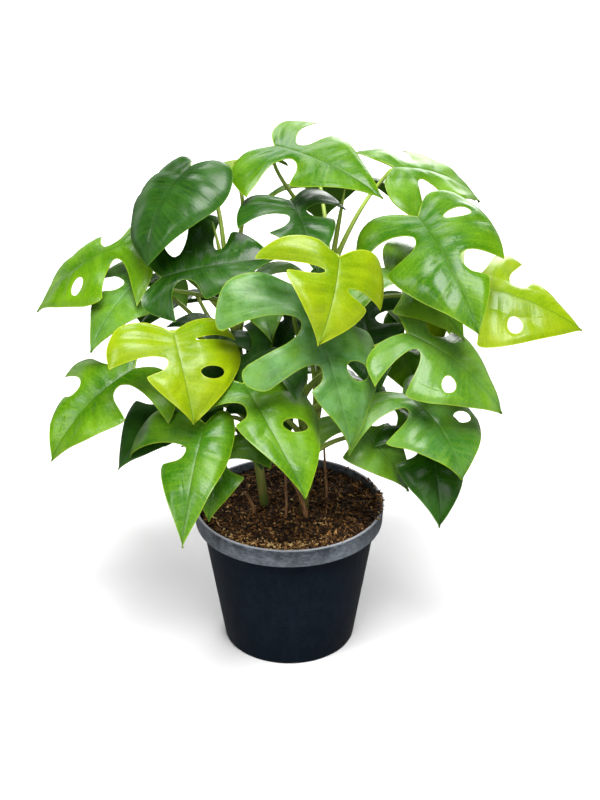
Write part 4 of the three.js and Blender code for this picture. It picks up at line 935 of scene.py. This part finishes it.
# counts, and in mm how far out the tip of a loose piece may lie inside the rim
peat = dict(rings=64, sides=150, crumbs=3600, fibres=2500, overRim=75, straw=120, farthest=58.2)


def soilHeight(x, y):
    out = np.hypot(x, y) / soil["radius"]
    lumps = np.sin(0.31 * x + 1) * np.cos(0.27 * y) + 0.6 * np.sin(0.17 * x - 0.23 * y)
    return soil["level"] + soil["dome"] * (1 - out * out) + soil["lump"] * lumps


def fineHeight(x, y):
    spots = zip(np.ravel(x), np.ravel(y))
    rough = [noise.fractal((px / 5, py / 5, 3.0), 0.8, 2.1, 4) for px, py in spots]
    return soilHeight(x, y) + np.reshape(rough, np.shape(x)) * 1.4


top = [(0.6 + (soil["radius"] - 0.9) * k / peat["rings"], soil["level"]) for k in range(peat["rings"] + 1)]
# its side and base lie about 0.4 mm inside the pot's
low, raised = pot["wall"] + 0.4, pot["wall"] + 0.4 + pot["drainRaise"]
wall = [(soil["radius"] - 0.5, 86), (soil["radius"] - 0.6, 84.9), (53.1, 83), (pot["foot"] - 1.5, low),
        (pot["drainOuter"] + 1.9, low), (pot["drainOuter"] + 0.9, raised), (pot["drainInner"] - 0.9, raised),
        (pot["drainInner"] - 1.9, low), (2, low)]
bed = turnedShell(top + wall, peat["sides"])
bed.name = "peat_bed"
closeEnds(bed)
places = positionsOf(bed) / mm
onTop = places[:, 2] > soil["level"] - 0.1
places[onTop, 2] = fineHeight(places[onTop, 0], places[onTop, 1]) - 0.5
moveVertices(bed, places * mm)
setAttribute(bed, "shade", np.full(len(places), 0.3))
smooth(bed, 80)
finish(bed, "soil", peatMaterial)


# The vertices, in mm, and the faces of a small shape, which is then taken away.
def shapeOf(template):
    shape = positionsOf(template) / mm, [list(face.vertices) for face in template.data.polygons]
    bpy.data.objects.remove(template)
    return shape


# Copies of one small shape strewn on the soil, as one mesh: from and to for lengths and widths, and the
# middle and spread of the shades. lie is the spread of their tilt, and rim keeps them to an angle, its
# spread and two radii.
def strew(name, template, count, lengths, widths, lie, shades, rim=None):
    shape, faces = template
    every, allFaces, allShades = [], [], []
    for k in range(count):
        angle = random.uniform(0, 2 * np.pi)
        out = (soil["radius"] - 1.2) * math.sqrt(random.uniform(0, 1))
        if rim:
            angle, out = random.normal(rim[0], rim[1]), random.uniform(rim[2], rim[3])
        x, y = out * math.cos(angle), out * math.sin(angle)
        onRim = out > soil["radius"]
        level = pot["height"] + 0.1 if onRim else float(fineHeight(x, y))
        length, width = random.uniform(*lengths), random.uniform(*widths)
        thick = width * random.uniform(0.5, 1)
        tilt = random.normal(0, lie), random.normal(0, lie), random.uniform(0, 6.283)
        turn = np.array(Euler(tilt, "XYZ").to_matrix())
        bent = shape * (length, width, thick)
        bent[:, 1] += random.normal(0, 0.16) * length * (2 * shape[:, 0]) ** 2
        bent = bent @ turn.T
        radius = np.hypot(x, y)
        tooFar = 0 if onRim else max(0, radius + length * 0.45 - peat["farthest"])
        x, y = x * (1 - tooFar / radius), y * (1 - tooFar / radius)
        every.append(bent + (x, y, level + random.uniform(-0.25, 0.5) * thick))
        allFaces += [[v + k * len(shape) for v in face] for face in faces]
        allShades += [float(np.clip(random.normal(*shades), 0, 1))] * len(shape)
    mesh = bpy.data.meshes.new(name)
    mesh.from_pydata(np.vstack(every) * mm, [], allFaces)
    piece = newObject(name, mesh)
    setAttribute(piece, "shade", allShades)
    smooth(piece, 40)
    finish(piece, "soil", peatMaterial)


# a unit fibre: four-sided, with three bends
bpy.ops.mesh.primitive_cube_add(size=1 * mm)
fibre = bpy.context.object
for cut in (-0.25, 0.05, 0.3):
    edit(fibre, lambda: bpy.ops.mesh.bisect(plane_co=(cut * mm, 0, 0), plane_no=(1, 0, 0)))
shape = positionsOf(fibre)
shape[:, 1:] *= 1 - 0.75 * np.abs(shape[:, 0:1] / mm * 2) ** 2
moveVertices(fibre, shape)
fibre = shapeOf(fibre)
strew("peat_fibres", fibre, peat["fibres"], (2.6, 7.5), (0.4, 1.1), 0.3, (0.52, 0.2))
# some lap over the rim on the right, and pale straw lies along the rim at the front
strew("peat_over_rim", fibre, peat["overRim"], (2.6, 6.5), (0.5, 1.2), 0.16, (0.5, 0.2),
      rim=(0.1, 0.35, 55.5, 59.2))
strew("peat_straw", fibre, peat["straw"], (2.6, 6.5), (0.5, 1.0), 0.25, (0.92, 0.12),
      rim=(-1.75, 0.38, 45, 52.5))
# a unit crumb: a worn lump
bpy.ops.mesh.primitive_ico_sphere_add(subdivisions=1, radius=0.5 * mm)
crumb = bpy.context.object
shape = positionsOf(crumb)
shape *= 1 + 0.35 * noiseAt(*(shape / mm * 3.1).T)[:, None]
moveVertices(crumb, shape)
strew("peat_crumbs", shapeOf(crumb), peat["crumbs"], (1.0, 3.6), (0.9, 2.3), 0.8, (0.38, 0.19))
print("soil ready")
